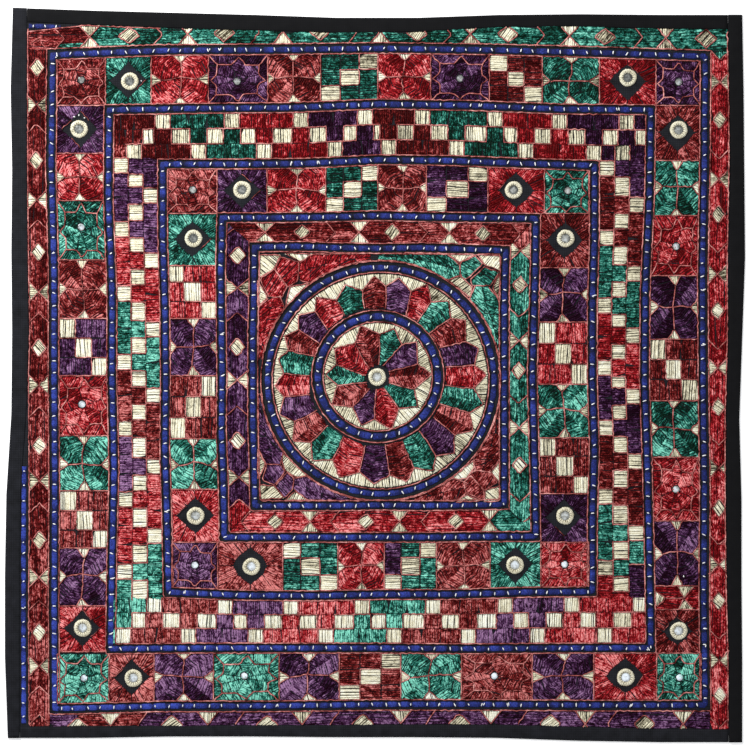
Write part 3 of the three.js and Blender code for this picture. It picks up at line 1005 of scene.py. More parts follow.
# Eight-pointed star round a small mirror
def star(cloth, cords, at, thread, shade):
    corners = [(0.17, 0.21), (0.86, 0.22), (0.84, 0.82), (0.15, 0.82)]
    corners = [(x + jitter(0.03), y + jitter(0.03)) for x, y in corners]
    tips = [(0.52, 0.04), (0.97, 0.54), (0.5, 0.97), (0.03, 0.54)]
    edges = [(0.52, 0.0), (1.0, 0.54), (0.5, 1.0), (0.0, 0.54)]
    centre = (0.5 + jitter(0.02), 0.5 + jitter(0.02))
    for i in range(4):
        a, b, c = corners[i], corners[(i + 1) % 4], corners[(i + 2) % 4]
        tip, edge = tips[i], edges[i]
        left, right, beyond = midpoint(a, b, 0.33), midpoint(a, b, 0.67), midpoint(b, c, 0.33)
        side = angleOf(at(*a), at(*b))
        corner, after = blockCorners[i], blockCorners[(i + 1) % 4]
        for outline in ((corner, edge, tip, left, a), (edge, after, b, right, tip)):
            turn = side + dice.choice((-60, 60, 90, 40))
            satin(cloth, on(at, *outline), turn, thread, shade + dice.uniform(-0.16, 0.12), 2.8, gaps=0.15)
        for outline in ((tip, right, centre, left), (b, beyond, centre, right)):
            turn = angleOf(at(*centre), at(*outline[0])) + 90 + jitter(25)
            tone = dice.uniform(shade - 0.13, shade + 0.1)
            satin(cloth, on(at, *outline), turn, thread, tone, 2.6, 0.2, 0.1, 0.1)
        couch(cords, on(at, a, left, tip, right, b))
        couch(cords, on(at, a, corner))


diamondStyle = {
    "reach": (22.5, 26.5),  # from the mirror's middle to a tip of the diamond
    "hollow": 0.37,  # how far out its sides lie on the way to the block's corner
    "creaseChance": 0.15,
}


# Ringed mirror on a black diamond whose sides curve in, with satin raying out to the block's edges
def mirrorBlock(cloth, cords, at, thread, shade, size):
    cx, cy = centre = (0.5, 0.49)
    wide, high = math.dist(at(0, 0.5), at(1, 0.5)), math.dist(at(0.5, 0), at(0.5, 1))
    right, up, left, down = [size * dice.uniform(*diamondStyle["reach"]) for k in range(4)]
    reach = [(cx, cy - up / high), (cx + right / wide, cy), (cx, cy + down / high), (cx - left / wide, cy)]
    edges = [(cx, 0.0), (1.0, cy), (cx, 1.0), (0.0, cy)]
    for i in range(4):
        after = (i + 1) % 4
        corner = blockCorners[after]
        hollow = midpoint(centre, corner, diamondStyle["hollow"])
        seam = on(at, centre, corner)
        flip = dice.choice((-1, 1))
        halves = ((edges[i], corner, hollow, reach[i]), (corner, edges[after], reach[after], hollow))
        for half, sign in zip(halves, (1, -1)):
            outline = on(at, *half)
            turn = lerp(angleOf(at(*centre), middleOf(outline)), angleOf(*seam), 0.3)
            # painted sheen: the two halves beside each seam are painted a little brighter and darker
            tone = shade + flip * sign * dice.uniform(0.0, 0.08)
            satin(cloth, outline, turn, thread, tone, 2.6, 0.2, 0.15, seam=seam)
        if dice.random() < diamondStyle["creaseChance"]:
            couch(cords, on(at, reach[i], hollow), radius=0.6, shade=-0.2)


# Nine cells, cream along one diagonal. Where two threads are given, the first works one column.
def checks(cloth, cords, at, thread, shade, angle, rising):
    cut = [0, 0.33 + jitter(0.02), 0.67 + jitter(0.02), 1]
    cells = []
    for i in range(3):
        for j in range(3):
            x0, x1, y0, y1 = cut[i], cut[i + 1], cut[j], cut[j + 1]
            name = "cream" if (i + j == 2 if rising else i == j) else thread.split("/")[0 if i == 0 else -1]
            cells.append((name, on(at, (x0, y0), (x1, y0), (x1, y1), (x0, y1))))
    for name, outline in cells:
        tone = 0.14 if name == "cream" else shade + dice.uniform(-0.16, 0.06)
        gaps = 0.5 if name == "cream" else None
        satin(cloth, outline, angle + jitter(5), name, tone, 2.7, 0.14, gaps)
    for name, outline in cells:
        if name == "cream":
            couch(cords, outline, closed=True, radius=0.85)


# Narrow leftover piece: a cream diamond, and a cream hourglass beside it
def scrap(cloth, cords, at, thread, shade):
    point, waist = (0.24, 0.52), (0.66, 0.52)
    lights = [
        [(0.0, 0.2), point, (0.06, 0.85), (0.0, 0.85)],
        [(0.51, 0.0), (0.9, 0.0), waist],
        [(0.53, 1.0), (0.88, 1.0), waist],
    ]
    fields = [
        [(0, 0), (0.51, 0), waist, point, (0, 0.2)],
        [(0, 0.85), (0.06, 0.85), point, waist, (0.53, 1), (0, 1)],
        [(0.9, 0), (1, 0), (1, 1), (0.88, 1), waist],
    ]
    for field in fields:
        satin(cloth, on(at, *field), jitter(10), thread, shade, edge=0.2)
    for light in lights:
        outline = on(at, *light)
        satin(cloth, outline, dice.uniform(60, 85), "cream", 0.08, 2.2, edge=0.3)
        couch(cords, outline, closed=True)
    couch(cords, on(at, point, waist))


def fillPatchwork(cloth, cords, name):
    settings = frames[name]
    for side, words in settings["blocks"].items():
        parts = words.split()
        start = float(parts[0])
        startLine, endLine = ((0, 0), (0, 1)), ((1, 0), (1, 1))
        if side in upright:
            startLine, endLine = ((0, 0), (1, 0)), ((0, 1), (1, 1))
        for kind, thread, stop in zip(parts[1::3], parts[2::3], parts[3::3]):
            end = float(stop)
            at = lambda r, d, s=start, e=end: blockPoint(settings["band"], side, s, e, r, d)
            # painted light: the side's shade from the table above
            shade = settings["shade"][side] + jitter(0.05)
            if thread == "purple":
                shade += purpleShade
            if kind == "petals":
                petals(cloth, cords, at, thread, shade)
            elif kind == "star":
                star(cloth, cords, at, thread, shade + 0.03)
            elif kind in ("mirror", "smallMirror"):
                mirrorBlock(cloth, cords, at, thread, shade, 1.0 if kind == "mirror" else 0.76)
            elif kind in ("rising", "falling"):
                checks(cloth, cords, at, thread, shade, 90 if side in upright else 0, kind == "rising")
            else:
                scrap(cloth, cords, at, thread, shade)
            couch(cords, on(at, *endLine))
            if start == float(parts[0]):
                couch(cords, on(at, *startLine))
            start = end


# Stair-check band: long bars with cream cells between them in the outer and the inner row,
# and in the middle row the stems of the bars with cream between them

stairs = {
    "band": {"outer": braidSquares[1], "inner": braidSquares[2], "shift": -cordOff},
    "cream": 10.5,  # half the width of a cream cell
    "stem": 12.2,  # half the width of a stem
    "bar": 30,  # long bars are worked in blocks of about this length
    "sides": {
        "top": {
            "from": -367, "to": 379, "startBar": "maroon", "shade": -0.36, "cream": 0.02, "lines": 0.5,
            "upper": "-297 -200 -104 -14 66 168 258 352",
            "upperBars": "maroon teal red purple maroon teal red purple purple",
            "lower": "-337 -247 -155 -56 19 114 211 306",
            "lone": " 346",  # a lone cream cell has no stem above it
            "lowerBars": "maroon maroon teal red purple maroon teal red purple purple",
        },
        "left": {
            "from": -304, "to": 315, "shade": 0.06, "cream": 0.22, "lines": 0.32,
            "upper": "-293 -204 -114 -18 75 174 275",
            "upperBars": "maroon purple red teal maroon purple red teal",
            "lower": "-251 -160 -64 29 128 225",
            "lowerBars": "purple purple red teal maroon red teal",
        },
        "right": {
            "from": -304, "to": 315, "endBar": "red", "shade": -0.03, "cream": 0.2, "lines": 0.32,
            "upper": "-238 -142 -55 30 121 221",
            "upperBars": "purple maroon teal red purple maroon teal",
            "swap": (265, "purple"),  # after this place the last upper bar goes on in another thread
            "lower": "-289 -192 -97 -10 74 170 270",
            "lowerBars": "purple maroon teal red purple maroon teal red",
        },
        "bottom": {
            "from": -367, "to": 379, "startBar": "teal", "shade": 0.07, "cream": 0.18, "lines": 0.36,
            "upper": "-352 -261 -167 -69 27 130 227 321",
            "upperBars": "teal maroon purple red teal maroon purple red red",
            "lower": "-309 -210 -118 -18 81 182 275 371",
            "lowerBars": "teal maroon purple red teal maroon purple red red",
        },
    },
}


# Cells of one row as (start, end, colour), with cream cells at the given places
def rowCells(places, bars, low, high, half, swap=None):
    cells = []
    start = low
    for at, bar in zip(places, bars):
        if at - half > start:
            cells.append((start, at - half, bar))
        cells.append((max(at - half, low), min(at + half, high), "cream"))
        start = at + half
    if swap:
        cells += [(start, swap[0], bars[-1]), (swap[0], high, swap[1])]
    elif high > start:
        cells.append((start, high, bars[-1]))
    return cells


# Thread of the bar at a place, or of the bar nearest to it
def colourIn(cells, at):
    bars = [cell for cell in cells if cell[2] != "cream"]
    return min(bars, key=lambda bar: max(bar[0] - at, at - bar[1]))[2]


# Cells of the middle row, each with the row that its stem belongs to, "end" for an end bar or "" for cream
def middleCells(settings, stems, low, high):
    half, stemHalf = stairs["cream"], stairs["stem"]
    cells = []
    start = low
    for at, row, name in sorted(stems):
        if at - stemHalf > start and start == low and "startBar" in settings:
            cells.append((start, at - stemHalf, settings["startBar"], "end"))
        elif at - stemHalf > start + 3:
            cells.append((start, at - stemHalf, "cream", ""))
        cells.append((max(at - stemHalf, low), min(at + stemHalf, high), name, row))
        start = at + stemHalf
    if high - start > 4:
        stop = min(high, start + 2 * half)
        cells.append((start, stop if "endBar" in settings else high, "cream", ""))
        if "endBar" in settings:
            cells.append((stop, high, settings["endBar"], "end"))
    return cells


def fillStairs(cloth, cords, side):
    settings = stairs["sides"][side]
    half = stairs["cream"]
    low, high = settings["from"], settings["to"]
    swap = settings.get("swap")
    upper = rowCells(numbers(settings["upper"]), settings["upperBars"].split(), low, high, half, swap)
    lowerPlaces = numbers(settings["lower"] + settings.get("lone", ""))
    lower = rowCells(lowerPlaces, settings["lowerBars"].split(), low, high, half)
    swapAt = swap[0] if swap else high
    stems = [(at, "upper", colourIn(upper, min(at, swapAt - 1))) for at in numbers(settings["lower"])]
    stems += [(at, "lower", colourIn(lower, at)) for at in numbers(settings["upper"])]
    middle = middleCells(settings, stems, low, high)
    along = 0 if side in level else 90
    rows = [(upper, 0.0, 1 / 3), ([cell[:3] for cell in middle], 1 / 3, 2 / 3), (lower, 2 / 3, 1.0)]
    point = lambda a, d: bandPoint(stairs["band"], side, a, d)
    for cells, top, bottom in rows:
        for a, b, name in cells:
            light = name == "cream"
            count = 1 if light else max(1, round((b - a) / stairs["bar"]))
            for k in range(count):
                k0, k1 = lerp(a, b, k / count), lerp(a, b, (k + 1) / count)
                outline = [point(k0, top), point(k1, top), point(k1, bottom), point(k0, bottom)]
                # painted light: each side's shade and cream paint the whole side darker or brighter as the
                # light falls on it, the top darkest
                shade = settings["cream"] if light else settings["shade"] + jitter(0.1)
                shade -= 0.1 if name == "maroon" else 0.0
                gaps, edge = (settings["lines"], 0.5) if light else (0.05, 0.05)
                satin(cloth, outline, along + 90 + jitter(4), name, shade, 2.8, 0.13, gaps, edge)
        for (a, b, name), after in zip(cells, cells[1:]):
            if name == "cream" or name != after[2]:
                couch(cords, [point(b, top), point(b, bottom)])
    for a, b, name, row in middle:
        for depth, bare in ((1 / 3, "upper"), (2 / 3, "lower")):
            if row not in ("end", bare):
                couch(cords, [point(a, depth), point(b, depth)])


# Middle medallion. Each petal row gives the thread, then angle and distance about the middle, in degrees and
# mm, of its tip, of the shoulder after it and of the foot of the cord after it.

petalRing = {
    "middle": (6.3, -4.6),
    "fan": 14,  # degrees that the threads of the two halves of a petal fan out
    "rim": ringOuter,
    "rimGrow": -8.5,
    "bundle": 3.0,
    "petals": """
        maroon 93 143 101 125 102 100
        teal 110 139 119 125 119 100
        red 128 144 134 129 137 99
        purple 142 144 149 132 150 97
        maroon 156 145 163 133 161 94
        teal 169 144 177 134 178 98
        red 184 147 191 136 193 100
        purple 200 149 207 133 207 98
        maroon 216 150 223 131 222 98
        teal 231 149 240 131 238 95
        red 248 150 258 134 258 96
        purple 267 148 276 136 275 93
        maroon 285 150 291 134 290 93
        teal 300 150 306 134 307 92
        purple 315 148 323 131 324 93
        maroon 331 150 339 135 337 91
        teal 346 150 354 133 354 92
        red 362 150 368 134 370 94
        purple 377 145 383 131 387 94
        maroon 394 145 400 130 402 93
        teal 408 145 416 129 416 95
        red 423 148 430 129 427 95
        purple 439 143 446 129 445 97
    """,
}
rosette = {
    "middle": (3.5, -3.1),
    "fan": 24,
    "rim": ringInner,
    "rimGrow": -8.0,
    "bundle": 2.6,
    "petals": """
        maroon 108 76 87 60 84 17.5
        teal 71 72 53 57 63 17.5
        purple 42 74 18 59 27 17.5
        maroon 3 76 -18 54 -25 17.5
        teal -36 70 -56 53 -61 16.5
        red -75 76 -94 59 -95 16.5
        purple -109 71 -130 54 -123 19.5
        maroon -149 75 -168 57 -153 16.5
        teal -183 73 -197 60 -187 16.5
        red -214 72 -237 57 -226 16.5
    """,
}


def readPetals(settings):
    mx, my = settings["middle"]
    rows = []
    for line in settings["petals"].strip().splitlines():
        thread, words = line.split(maxsplit=1)
        values = numbers(words)
        spots = []
        for angle, reach in zip(values[::2], values[1::2]):
            a = math.radians(angle)
            spots.append((mx + reach * math.cos(a), my + reach * math.sin(a)))
        rows.append({"thread": thread, "tip": spots[0], "shoulder": spots[1], "foot": spots[2]})
    return rows


# Turns from one angle to another by the short way round
def nearTurn(start, end):
    return start + (end - start + 180) % 360 - 180


def fillPetals(cloth, cords, settings):
    rows = readPetals(settings)
    rim = settings["rim"]
    rimAt = lambda p: angleOf((rim["x"], rim["y"]), p)
    for i, row in enumerate(rows):
        before, after = rows[i - 1], rows[(i + 1) % len(rows)]
        tip, shoulder, foot = row["tip"], row["shoulder"], row["foot"]
        heart = midpoint(before["foot"], foot)
        flip = dice.choice((-1, 1))
        lift = dice.uniform(-0.1, 0.08)
        for half, sign in (((before["shoulder"], before["foot"]), -1), ((shoulder, foot), 1)):
            # painted sheen: the petal's two halves, whose threads fan two ways, are painted one brighter and
            # one darker
            tone = lift + flip * sign * dice.uniform(0.04, 0.15)
            turn = angleOf(heart, tip) + 90 + sign * settings["fan"] + jitter(5)
            outline = [heart, tip, *half]
            satin(cloth, outline, turn, row["thread"], tone, settings["bundle"], gaps=0.3, seam=(heart, tip))
        bend = midpoint(shoulder, foot)
        couch(cords, [foot, (bend[0] + jitter(1.5), bend[1] + jitter(1.5)), shoulder])
        couch(cords, [before["shoulder"], tip, shoulder])
        # cream kite between this tip and the next
        one = rimAt(tip)
        two = nearTurn(one, rimAt(after["tip"]))
        arc = [ringPoint(rim, lerp(two, one, k / 2), settings["rimGrow"]) for k in range(3)]
        kite = [tip, shoulder, after["tip"]] + arc
        turn = angleOf(settings["middle"], middleOf(kite)) + jitter(14)
        satin(cloth, kite, turn, "cream", 0.1, 2.4, 0.14, 0.4, 0.3)


# Corner fields of the middle square, outside the outer ring: thread and corner points
spandrelShade = {"red": 0.1, "teal": 0.0, "purple": -0.1, "maroon": 0.0, "cream": 0.12}
spandrels = """
    red -132,165 -106,158 -108,132 -122,123 -140,148
    red -141,148 -123,123 -130,109 -148,109 -161,134
    teal 140,167 151,155 127,133 119,139 119,157
    teal 153,151 174,144 162,125 136,125 133,133
    purple -151,-125 -132,-125 -126,-136 -141,-154 -158,-147
    purple -123,-137 -113,-144 -115,-160 -127,-172 -140,-155
    maroon 140,-133 161,-136 172,-150 153,-161 132,-139
    maroon 125,-150 133,-140 153,-162 151,-175 126,-164
    cream -161,168 -132,168 -141,148 -162,136
    cream -127,171 -88,169 -104,158
    cream -164,132 -150,109 -164,95
    cream -126,94 -119,123 -92,129
    cream 144,169 175,169 175,146 153,154
    cream 102,169 140,169 119,157
    cream 175,143 175,104 164,123
    cream 102,133 119,139 136,123 134,108
    cream -161,-154 -141,-155 -127,-172 -160,-174
    cream -164,-104 -153,-125 -164,-147
    cream -125,-175 -111,-162 -94,-175
    cream -129,-109 -95,-141 -112,-143 -125,-134 -130,-122
    cream 154,-161 175,-155 175,-176 153,-178
    cream 175,-120 162,-136 174,-150
    cream 113,-178 127,-167 147,-176
    cream 109,-143 139,-118 139,-129 129,-144 116,-147
"""
# Long wedges between the ring and the square: outer start, inner start, first point on the ring,
# first point on the square's edge, and the far end on that edge
wedges = [
    ("red", (-105, 157), (-102, 132), (-92, 129), (-88, 169), (-6, 170)),
    ("red", (-151, 105), (-132, 108), (-126, 94), (-163, 95), (-163, 22)),
    ("teal", (118, 154), (118, 139), (102, 133), (102, 169), (4, 170)),
    ("teal", (161, 121), (139, 122), (134, 108), (174, 104), (174, 20)),
    ("purple", (-153, -123), (-132, -123), (-129, -109), (-163, -104), (-163, -26)),
    ("purple", (-112, -161), (-111, -144), (-95, -141), (-94, -175), (-14, -176)),
    ("maroon", (161, -134), (140, -132), (139, -118), (174, -119), (174, -43)),
    ("maroon", (127, -166), (125, -150), (109, -145), (113, -176), (35, -176)),
]


wedgeStyle = {
    "pieces": 4,
    # how far a wedge runs on under the cord of the leaf that it starts from
    "innerLap": 3.5,
    "outerLap": 2.5,
    "offRing": 10.5,
    "lean": 12,  # degrees that the threads lean each way from straight across
}


# The line from a to b carried on by more millimetres
def reachOut(a, b, more):
    return midpoint(a, b, 1 + more / math.dist(a, b))


def fillSpandrels(cloth, cords):
    middle = (ringOuter["x"], ringOuter["y"])
    for line in spandrels.strip().splitlines():
        thread, *pairs = line.split()
        outline = [tuple(numbers(pair.replace(",", " "))) for pair in pairs]
        ray = angleOf(middle, middleOf(outline))
        turn = ray if thread == "cream" else ray + 90
        shade = spandrelShade[thread] + jitter(0.08)
        satin(cloth, outline, turn + jitter(15), thread, shade, 2.8, edge=-0.2)
        couch(cords, outline, closed=True)
    pieces = wedgeStyle["pieces"]
    for thread, outerStart, innerStart, ringStart, edgeStart, farEnd in wedges:
        fromAngle = angleOf(middle, ringStart)
        toAngle = nearTurn(fromAngle, angleOf(middle, farEnd))
        inner = [reachOut(ringStart, innerStart, wedgeStyle["innerLap"])]
        outer = [reachOut(edgeStart, outerStart, wedgeStyle["outerLap"])]
        for k in range(pieces + 1):
            angle = lerp(fromAngle, toAngle, k / pieces)
            inner.append(ringPoint(ringOuter, angle, wedgeStyle["offRing"]))
            outer.append(midpoint(edgeStart, farEnd, k / pieces))
        spine = [midpoint(a, b) for a, b in zip(inner, outer)]
        for k in range(pieces + 1):
            across = angleOf(inner[k], outer[k + 1])
            lean = wedgeStyle["lean"]
            # painted sheen: the half whose threads lean one way is painted darker, the other brighter
            dark = [spine[k], spine[k + 1], outer[k + 1], outer[k]]
            bright = [inner[k], inner[k + 1], spine[k + 1], spine[k]]
            satin(cloth, dark, across + lean, thread, -0.08, gaps=0.2, edge=0.1)
            satin(cloth, bright, across - lean, thread, 0.1, gaps=0.2, edge=0.1)
        couch(cords, outer)
        couch(cords, inner)


# Braids: blue tape pulled in by a bead about every 19 mm

braidStyle = {
    "halfWidth": 4.0,
    "low": 1.5,
    "crown": 0.95,
    "pitch": 19.0,
    "step": 3.2,
    "pull": 0.2,  # share of the width that a bead's stitch takes in
    "twoBeads": 0.04,
    "shortBeads": 0.35,
    "beadLength": 5.0,
    "beadRadius": 0.85,
    "wobble": 0.35,
    "tone": 0.55,
    # painted shade in the dent where a bead pulls the tape in
    "seatShade": 0.42,  # how much darker it is where a bead pulls it in
    "profile": [(-1, 0.0), (-0.78, 0.75), (0.0, 1.0), (0.78, 0.75), (1, 0.0)],
    "beadProfile": [(-1.0, 0.05), (-0.82, 0.62), (-0.3, 1.0), (0.3, 1.0), (0.82, 0.62), (1.0, 0.05)],
}


def layBraid(line, closed, wide=1.0, beadScale=1.0):
    batch = newBatch()
    points = resample(line, braidStyle["step"], closed)
    n = len(points)
    count = max(1, round(n * braidStyle["step"] / braidStyle["pitch"]))
    seats = [(k + 0.5 + jitter(0.12)) * n / count for k in range(count)]
    rows = []
    for k, (x, y, nx, ny) in enumerate(withAcross(points, closed)):
        near = min(abs(k - s) for s in seats)
        pull = math.exp(-((near / 0.9) ** 2))
        half = braidStyle["halfWidth"] * wide * (1 - braidStyle["pull"] * pull)
        wobble = braidStyle["wobble"] * patches(x, y, 25, 21.0)
        x, y = x + nx * wobble, y + ny * wobble
        ground = braidStyle["low"] + lie(x, y)
        # painted shade in the dent where a bead pulls the tape in
        tone = braidStyle["tone"] - braidStyle["seatShade"] * pull
        # painted light over the whole cloth, with patches of uneven tone
        tone = tone + 0.3 * patches(x, y, 9, 31.0) + paintedLightAndPatches(x, y)
        row = []
        for across, rise in braidStyle["profile"]:
            reach = half * across
            z = ground + braidStyle["crown"] * rise * (1 - 0.45 * pull)
            # painted shade along the tape's edges, where it meets the cloth
            edge = 0.3 if rise == 0 else 0
            row.append((x + nx * reach, y + ny * reach, z, k * braidStyle["step"], reach, tone - edge))
        rows.append(row)
    addGrid(batch, rows, 0, closed)
    for seat in seats:
        i = int(seat) % n
        if not closed and i >= n - 1:
            continue
        p, q = points[i], points[(i + 1) % n]
        for bead in range(2 if dice.random() < braidStyle["twoBeads"] else 1):
            short = dice.random() < braidStyle["shortBeads"]
            long = dice.uniform(0.55, 1.0) if short else dice.uniform(0.9, 1.2)
            spot = (p[0] + jitter(0.8) + bead * 2.2, p[1] + jitter(0.8) + bead * 1.2)
            addBead(batch, spot, angleOf(p, q) + 90 + jitter(32), long * beadScale)
    return batch


# Rice-shaped bead lying across the tape
def addBead(batch, spot, angle, scale):
    a = math.radians(angle)
    ca, sa = math.cos(a), math.sin(a)
    half = braidStyle["beadLength"] / 2 * scale
    radius = braidStyle["beadRadius"]
    height = braidStyle["low"] + braidStyle["crown"] * 0.6 + radius + lie(*spot)
    tone = dice.uniform(0.5, 1.0)
    rows = []
    for share, girth in braidStyle["beadProfile"]:
        row = []
        for k in range(7):
            t = k / 6 * 2 * math.pi
            side = radius * girth * math.cos(t)
            x, y = spot[0] + share * half * ca - side * sa, spot[1] + share * half * sa + side * ca
            row.append((x, y, height + radius * girth * math.sin(t), share, k, tone))
        rows.append(row)
    addGrid(batch, rows, 1)


# Mirrors: ring wound with cream thread round a cloudy glass, and small glasses held by stitches

glassStyle = {"low": 2.2, "rise": 0.45, "lowerBrighter": 0.14}
ringedStyle = {
    "glass": 6.4,
    "brighter": 0.0,
    "ring": {"radius": 12.6, "tube": 3.3, "low": 1.45, "rise": 2.3, "stitches": 32, "gapTone": 0.3},
}
bareStyle = {
    "glass": 4.9,
    "brighter": 0.2,
    "ring": {"radius": 6.2, "tube": 0.8, "low": 1.45, "rise": 1.5, "stitches": 12, "gapTone": 0.25},
}


def addGlass(batch, x, y, radius, brighter):
    tilt = (jitter(0.03), jitter(0.03))
    # painted reflection: the glasses lower down are painted brighter, as if they caught more of the window
    tone = jitter(0.14) + brighter + glassStyle["lowerBrighter"] * (1 - y / 300) - 0.04
    rows = []
    for share in (0.02, 0.45, 0.85, 1.0):
        row = []
        for k in range(16, -1, -1):
            t = k / 16 * 2 * math.pi
            dx, dy = radius * share * math.cos(t), radius * share * math.sin(t)
            z = glassStyle["low"] + glassStyle["rise"] * (1 - share**4) + tilt[0] * dx + tilt[1] * dy
            row.append((x + dx, y + dy, z, share * 5, 16 - k, tone - 0.25 * share**4))
        rows.append(row)
    addGrid(batch, rows, 1)


# Stitches wound over a ring, one bulge for each
def windRing(batch, x, y, style):
    middle = style["radius"] - style["tube"]
    uneven = [dice.uniform(0.92, 1.05) for k in range(style["stitches"])]
    steps = style["stitches"] * 4
    rows = []
    for k in range(steps):
        t = k / steps * 2 * math.pi
        bulge = abs(math.sin(math.pi * k / 4))
        # rings are worked by hand and none is quite round
        outOfRound = 1 + 0.07 * noise.noise((math.cos(t), math.sin(t), x + y))
        row = []
        for turn in range(6):
            p = turn / 5 * math.pi
            reach = middle + style["tube"] * (0.94 + 0.06 * bulge) * math.cos(p) * uneven[k // 4]
            reach *= outOfRound
            z = style["low"] + style["rise"] * math.sin(p) * (0.8 + 0.2 * bulge)
            # painted highlight on each stitch's bulge, and painted shade between the stitches and at the
            # ring's feet on the cloth
            tone = 0.6 + 0.1 * bulge - (style["gapTone"] if k % 4 == 0 else 0)
            tone -= 0.5 if turn in (0, 5) else 0
            # every other stitch shows its needle hole round the inner rim
            tone -= {3: 0.5, 4: 1.0}.get(turn, 0.0) if k % 8 in (0, 1) else 0.0
            px, py = x + reach * math.cos(t), y + reach * math.sin(t)
            row.append((px, py, z, turn * 2.0, k * 1.2, tone))
        rows.append(row)
    addGrid(batch, rows, 0, closed=True)


def setMirror(node):
    low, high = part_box(node)
    x, y = (low.x + high.x) / 2 / mm, (low.y + high.y) / 2 / mm
    batch = newBatch()
    if node.startswith("mirror_ringed"):
        windRing(batch, x, y, ringedStyle["ring"])
        addGlass(batch, x, y, ringedStyle["glass"], ringedStyle["brighter"])
        return makePiece("dressed_" + node, batch, [floss["cream"], silver], node)
    addGlass(batch, x, y, bareStyle["glass"], bareStyle["brighter"])
    windRing(batch, x, y, bareStyle["ring"])
    return makePiece("dressed_" + node, batch, [cottonBlack, silver], node)


# Ground cloth: a closed thin sheet that all the stitching lies on

groundStyle = {
    "cells": 96,
    "top": 1.15,
    "hem": 0.6,  # the sheet closes on itself at mid height
    "bottom": 0.05,
    "lap": 8.5,
    "across": (-495, 503),
    "down": (500, -502),
}


def weaveGround():
    batch = newBatch()
    cells = groundStyle["cells"]
    outline = lambda side, at: edgeAt(innerEdge, side, at) + groundStyle["lap"]
    for top in (True, False):
        rows = []
        for j in range(cells + 1):
            row = []
            for i in range(cells + 1):
                x, y = lerp(*groundStyle["across"], i / cells), lerp(*groundStyle["down"], j / cells)
                x = lerp(-outline("left", -y), outline("right", -y), i / cells)
                y = lerp(outline("top", x), -outline("bottom", x), j / cells)
                z = groundStyle["top"] + lie(x, y) if top else groundStyle["bottom"]
                if i in (0, cells) or j in (0, cells):
                    z = groundStyle["hem"]
                row.append((x, y, z, x, y, 0.5))
            rows.append(row[::-1] if top else row)
        addGrid(batch, rows, 0)
    return makePiece("groundCloth", batch, [cottonGround], "panel", welded=True)


# Border: four folded strips of the black cotton, the side strips running the full height

borderStyle = {
    "step": 5.0,
    "ripple": 0.35,
    "rippleFrom": 1.95,  # only the top of the fold ripples
    "gap": 0.3,
    # share of the width and height round the fold; its inner edge lies on the ground cloth
    "profile": [
        (0.0, 1.45), (0.0, 1.9), (0.06, 2.25), (0.3, 2.4), (0.6, 2.35), (0.9, 2.2), (0.98, 1.6),
        (1.0, 0.9), (0.97, 0.1), (0.5, 0.05), (0.36, 0.05), (0.34, 1.45), (0.0, 1.45),
    ],
}


def foldBorder(side):
    batch = newBatch()
    profile = borderStyle["profile"]
    # strips across end against the inner edges of the side strips
    if side in upright:
        end = 0 if side == "left" else -1
        low, high = -outerEdge["top"][end], outerEdge["bottom"][end]
    else:
        end = 0 if side == "top" else -1
        low = -innerEdge["left"][end] + borderStyle["gap"]
        high = innerEdge["right"][end] - borderStyle["gap"]
    count = int((high - low) / borderStyle["step"])
    rows = []
    for k in range(count + 1):
        at = lerp(low, high, k / count)
        near, far = edgeAt(innerEdge, side, at), edgeAt(outerEdge, side, at)
        row = []
        for share, height in profile:
            distance = lerp(near, far, share)
            x, y = place(side, at, distance)
            if side in upright:
                inside = min(max(at, -edgeAt(outerEdge, "top", x)), edgeAt(outerEdge, "bottom", x))
                x, y = place(side, inside, distance)
            z = height
            if height > borderStyle["rippleFrom"]:
                z += borderStyle["ripple"] * patches(x, y, 30, 40.0)
                z -= creaseAt(y - swell["creaseY"] if side in upright else x - swell["creaseX"])
            row.append((x, y, z, at, height, 0.5))
        rows.append(row)
    addGrid(batch, rows, 0)
    first = len(profile) - 1
    last = count * len(profile)
    batch["faces"] += [tuple(range(first))[::-1], tuple(range(last, last + first))]
    batch["paint"] += [0, 0]
    # painted shade: the top and right strips take the darker copy of the cotton
    cotton = cottonShaded if side in ("top", "right") else cottonBlack
    return makePiece("foldedBorder_" + side, batch, [cotton], "border_" + side, welded=True)


# Cords beside the braids and along the border

def couchSideCords():
    cords = newBatch()
    couch(cords, [(-481.6, 463.4), (-471.8, 471.8), (-460.6, 457.8)])
    for side, low, high in (("left", -484, 488), ("right", -480, 492), ("top", -486, -300)):
        line = []
        for k in range(41):
            at = lerp(low, high, k / 40)
            far = bandDistance(chevronBands["outerChevrons"]["band"], side, at, 0)
            line.append(place(side, at, min(far, edgeAt(innerEdge, side, at) - 1.4)))
        couch(cords, line)
    couch(cords, squareLine(braidSquares[0], braidStyle["halfWidth"] + 4), closed=True)
    for square in braidSquares:
        if square is not braidSquares[0]:
            couch(cords, squareLine(square, cordOff), closed=True)
        couch(cords, squareLine(square, -cordOff), closed=True)
    for ring, grow in ((ringOuter, -6.8), (ringOuter, 9.2), (ringInner, -7.6), (ringInner, 8.6)):
        couch(cords, smoothRing(ring, grow), closed=True)
    return makePiece("braidSideCords", cords, flossList)


# Tapes that the border leaves bare, drawn narrower and with smaller beads
edgeTapes = {
    "left": [(-490.6, -128), (-491.5, -200), (-491.7, -330), (-491.4, -487)],
    "top": [(-484, 488.3), (-462, 487.8), (-440, 486.4)],
}


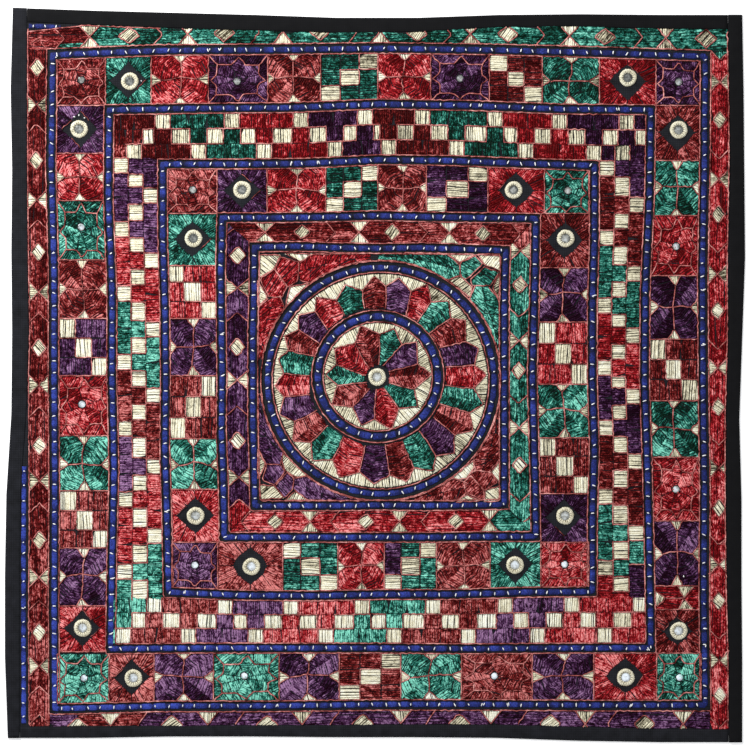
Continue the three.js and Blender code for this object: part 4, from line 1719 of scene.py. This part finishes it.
def layTapes():
    tapes = []
    for i, square in enumerate(braidSquares, 1):
        tapes.append(("tapeSquare%d" % i, "braid_square_%d" % i, squareLine(square, 0), True, 1.0, 1.0))
    for name, ring, wide in (("outer", ringOuter, 1.0), ("inner", ringInner, 1.18)):
        tapes.append(("tapeRing_" + name, "braid_ring_" + name, smoothRing(ring), True, wide, 1.0))
    for name, line in edgeTapes.items():
        tapes.append(("tapeEdge_" + name, "braid_edge_" + name, line, False, 0.85, 0.75))
    return [makePiece(name, layBraid(*how), beadedTape, node) for name, node, *how in tapes]


# Beads off the braids: x, y and how many lie together
looseBeads = [
    (-327.6, 411.6, 1),
    (-421.0, 361.0, 1),
    (-414.4, 364.0, 1),
    (-407.0, 360.0, 1),
    (432.0, -281.0, 1),
    (464.0, -380.0, 2),
    (383.0, -382.0, 3),
    (-151.0, 14.0, 3),
    (-78.0, 21.0, 2),
    (78.0, -41.0, 3),
    (-445.0, 446.0, 2),
]


def scatterBeads():
    beads = newBatch()
    for x, y, count in looseBeads:
        for k in range(count):
            spot = (x + jitter(1) * count, y + jitter(1) * count)
            addBead(beads, spot, dice.uniform(0, 180), dice.uniform(0.35, 0.6))
    return makePiece("looseBeads", beads, beadedTape)


def layBoard():
    half, under = 3.0, -0.0004  # metres
    mesh = bpy.data.meshes.new("board")
    corners = [(-half, -half, under), (half, -half, under), (half, half, under), (-half, half, under)]
    mesh.from_pydata(corners, [], [(0, 1, 2, 3)])
    mesh.materials.append(boardMaterial())
    newObject("board", mesh)


# Making

print("camera and light")
addCamera()
addLight()
floss = {name: flossMaterial(name, *values) for name, values in threads.items()}
flossList = list(floss.values())
cottonGround = cottonMaterial("ground", "08080B", "25272D")
cottonBlack = cottonMaterial("border", "07080B", "222329")
# painted shade: the top and right strips are the same cloth painted darker, as the sides in shade
cottonShaded = cottonMaterial("shadedBorder", "020204", "0D0D0F")
beadedTape = [tapeMaterial(), beadMaterial()]
silver = mirrorMaterial()

print("floor")
layBoard()

print("ground cloth and border")
ground = weaveGround()
dressings = [foldBorder(side) for side in sides]

print("satin stitch and couched cords")
works = {name: (newBatch(), newBatch()) for name in [*chevronBands, *frames, "stairChecks", "medallion"]}
for name in chevronBands:
    for side in sides:
        fillChevronSide(*works[name], name, side)
for name in frames:
    fillPatchwork(*works[name], name)
for side in sides:
    fillStairs(*works["stairChecks"], side)
for petalSet in (petalRing, rosette):
    fillPetals(*works["medallion"], petalSet)
fillSpandrels(*works["medallion"])
for name, (cloth, cords) in works.items():
    dressings.append(makePiece(name + "Satin", cloth, flossList))
    dressings.append(makePiece(name + "Cords", cords, flossList))

print("long cords beside the braids and the border")
dressings.append(couchSideCords())

print("braids and beads")
dressings += layTapes()
dressings.append(scatterBeads())

print("mirrors")
dressings += [setMirror(node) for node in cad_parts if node.startswith("mirror_")]
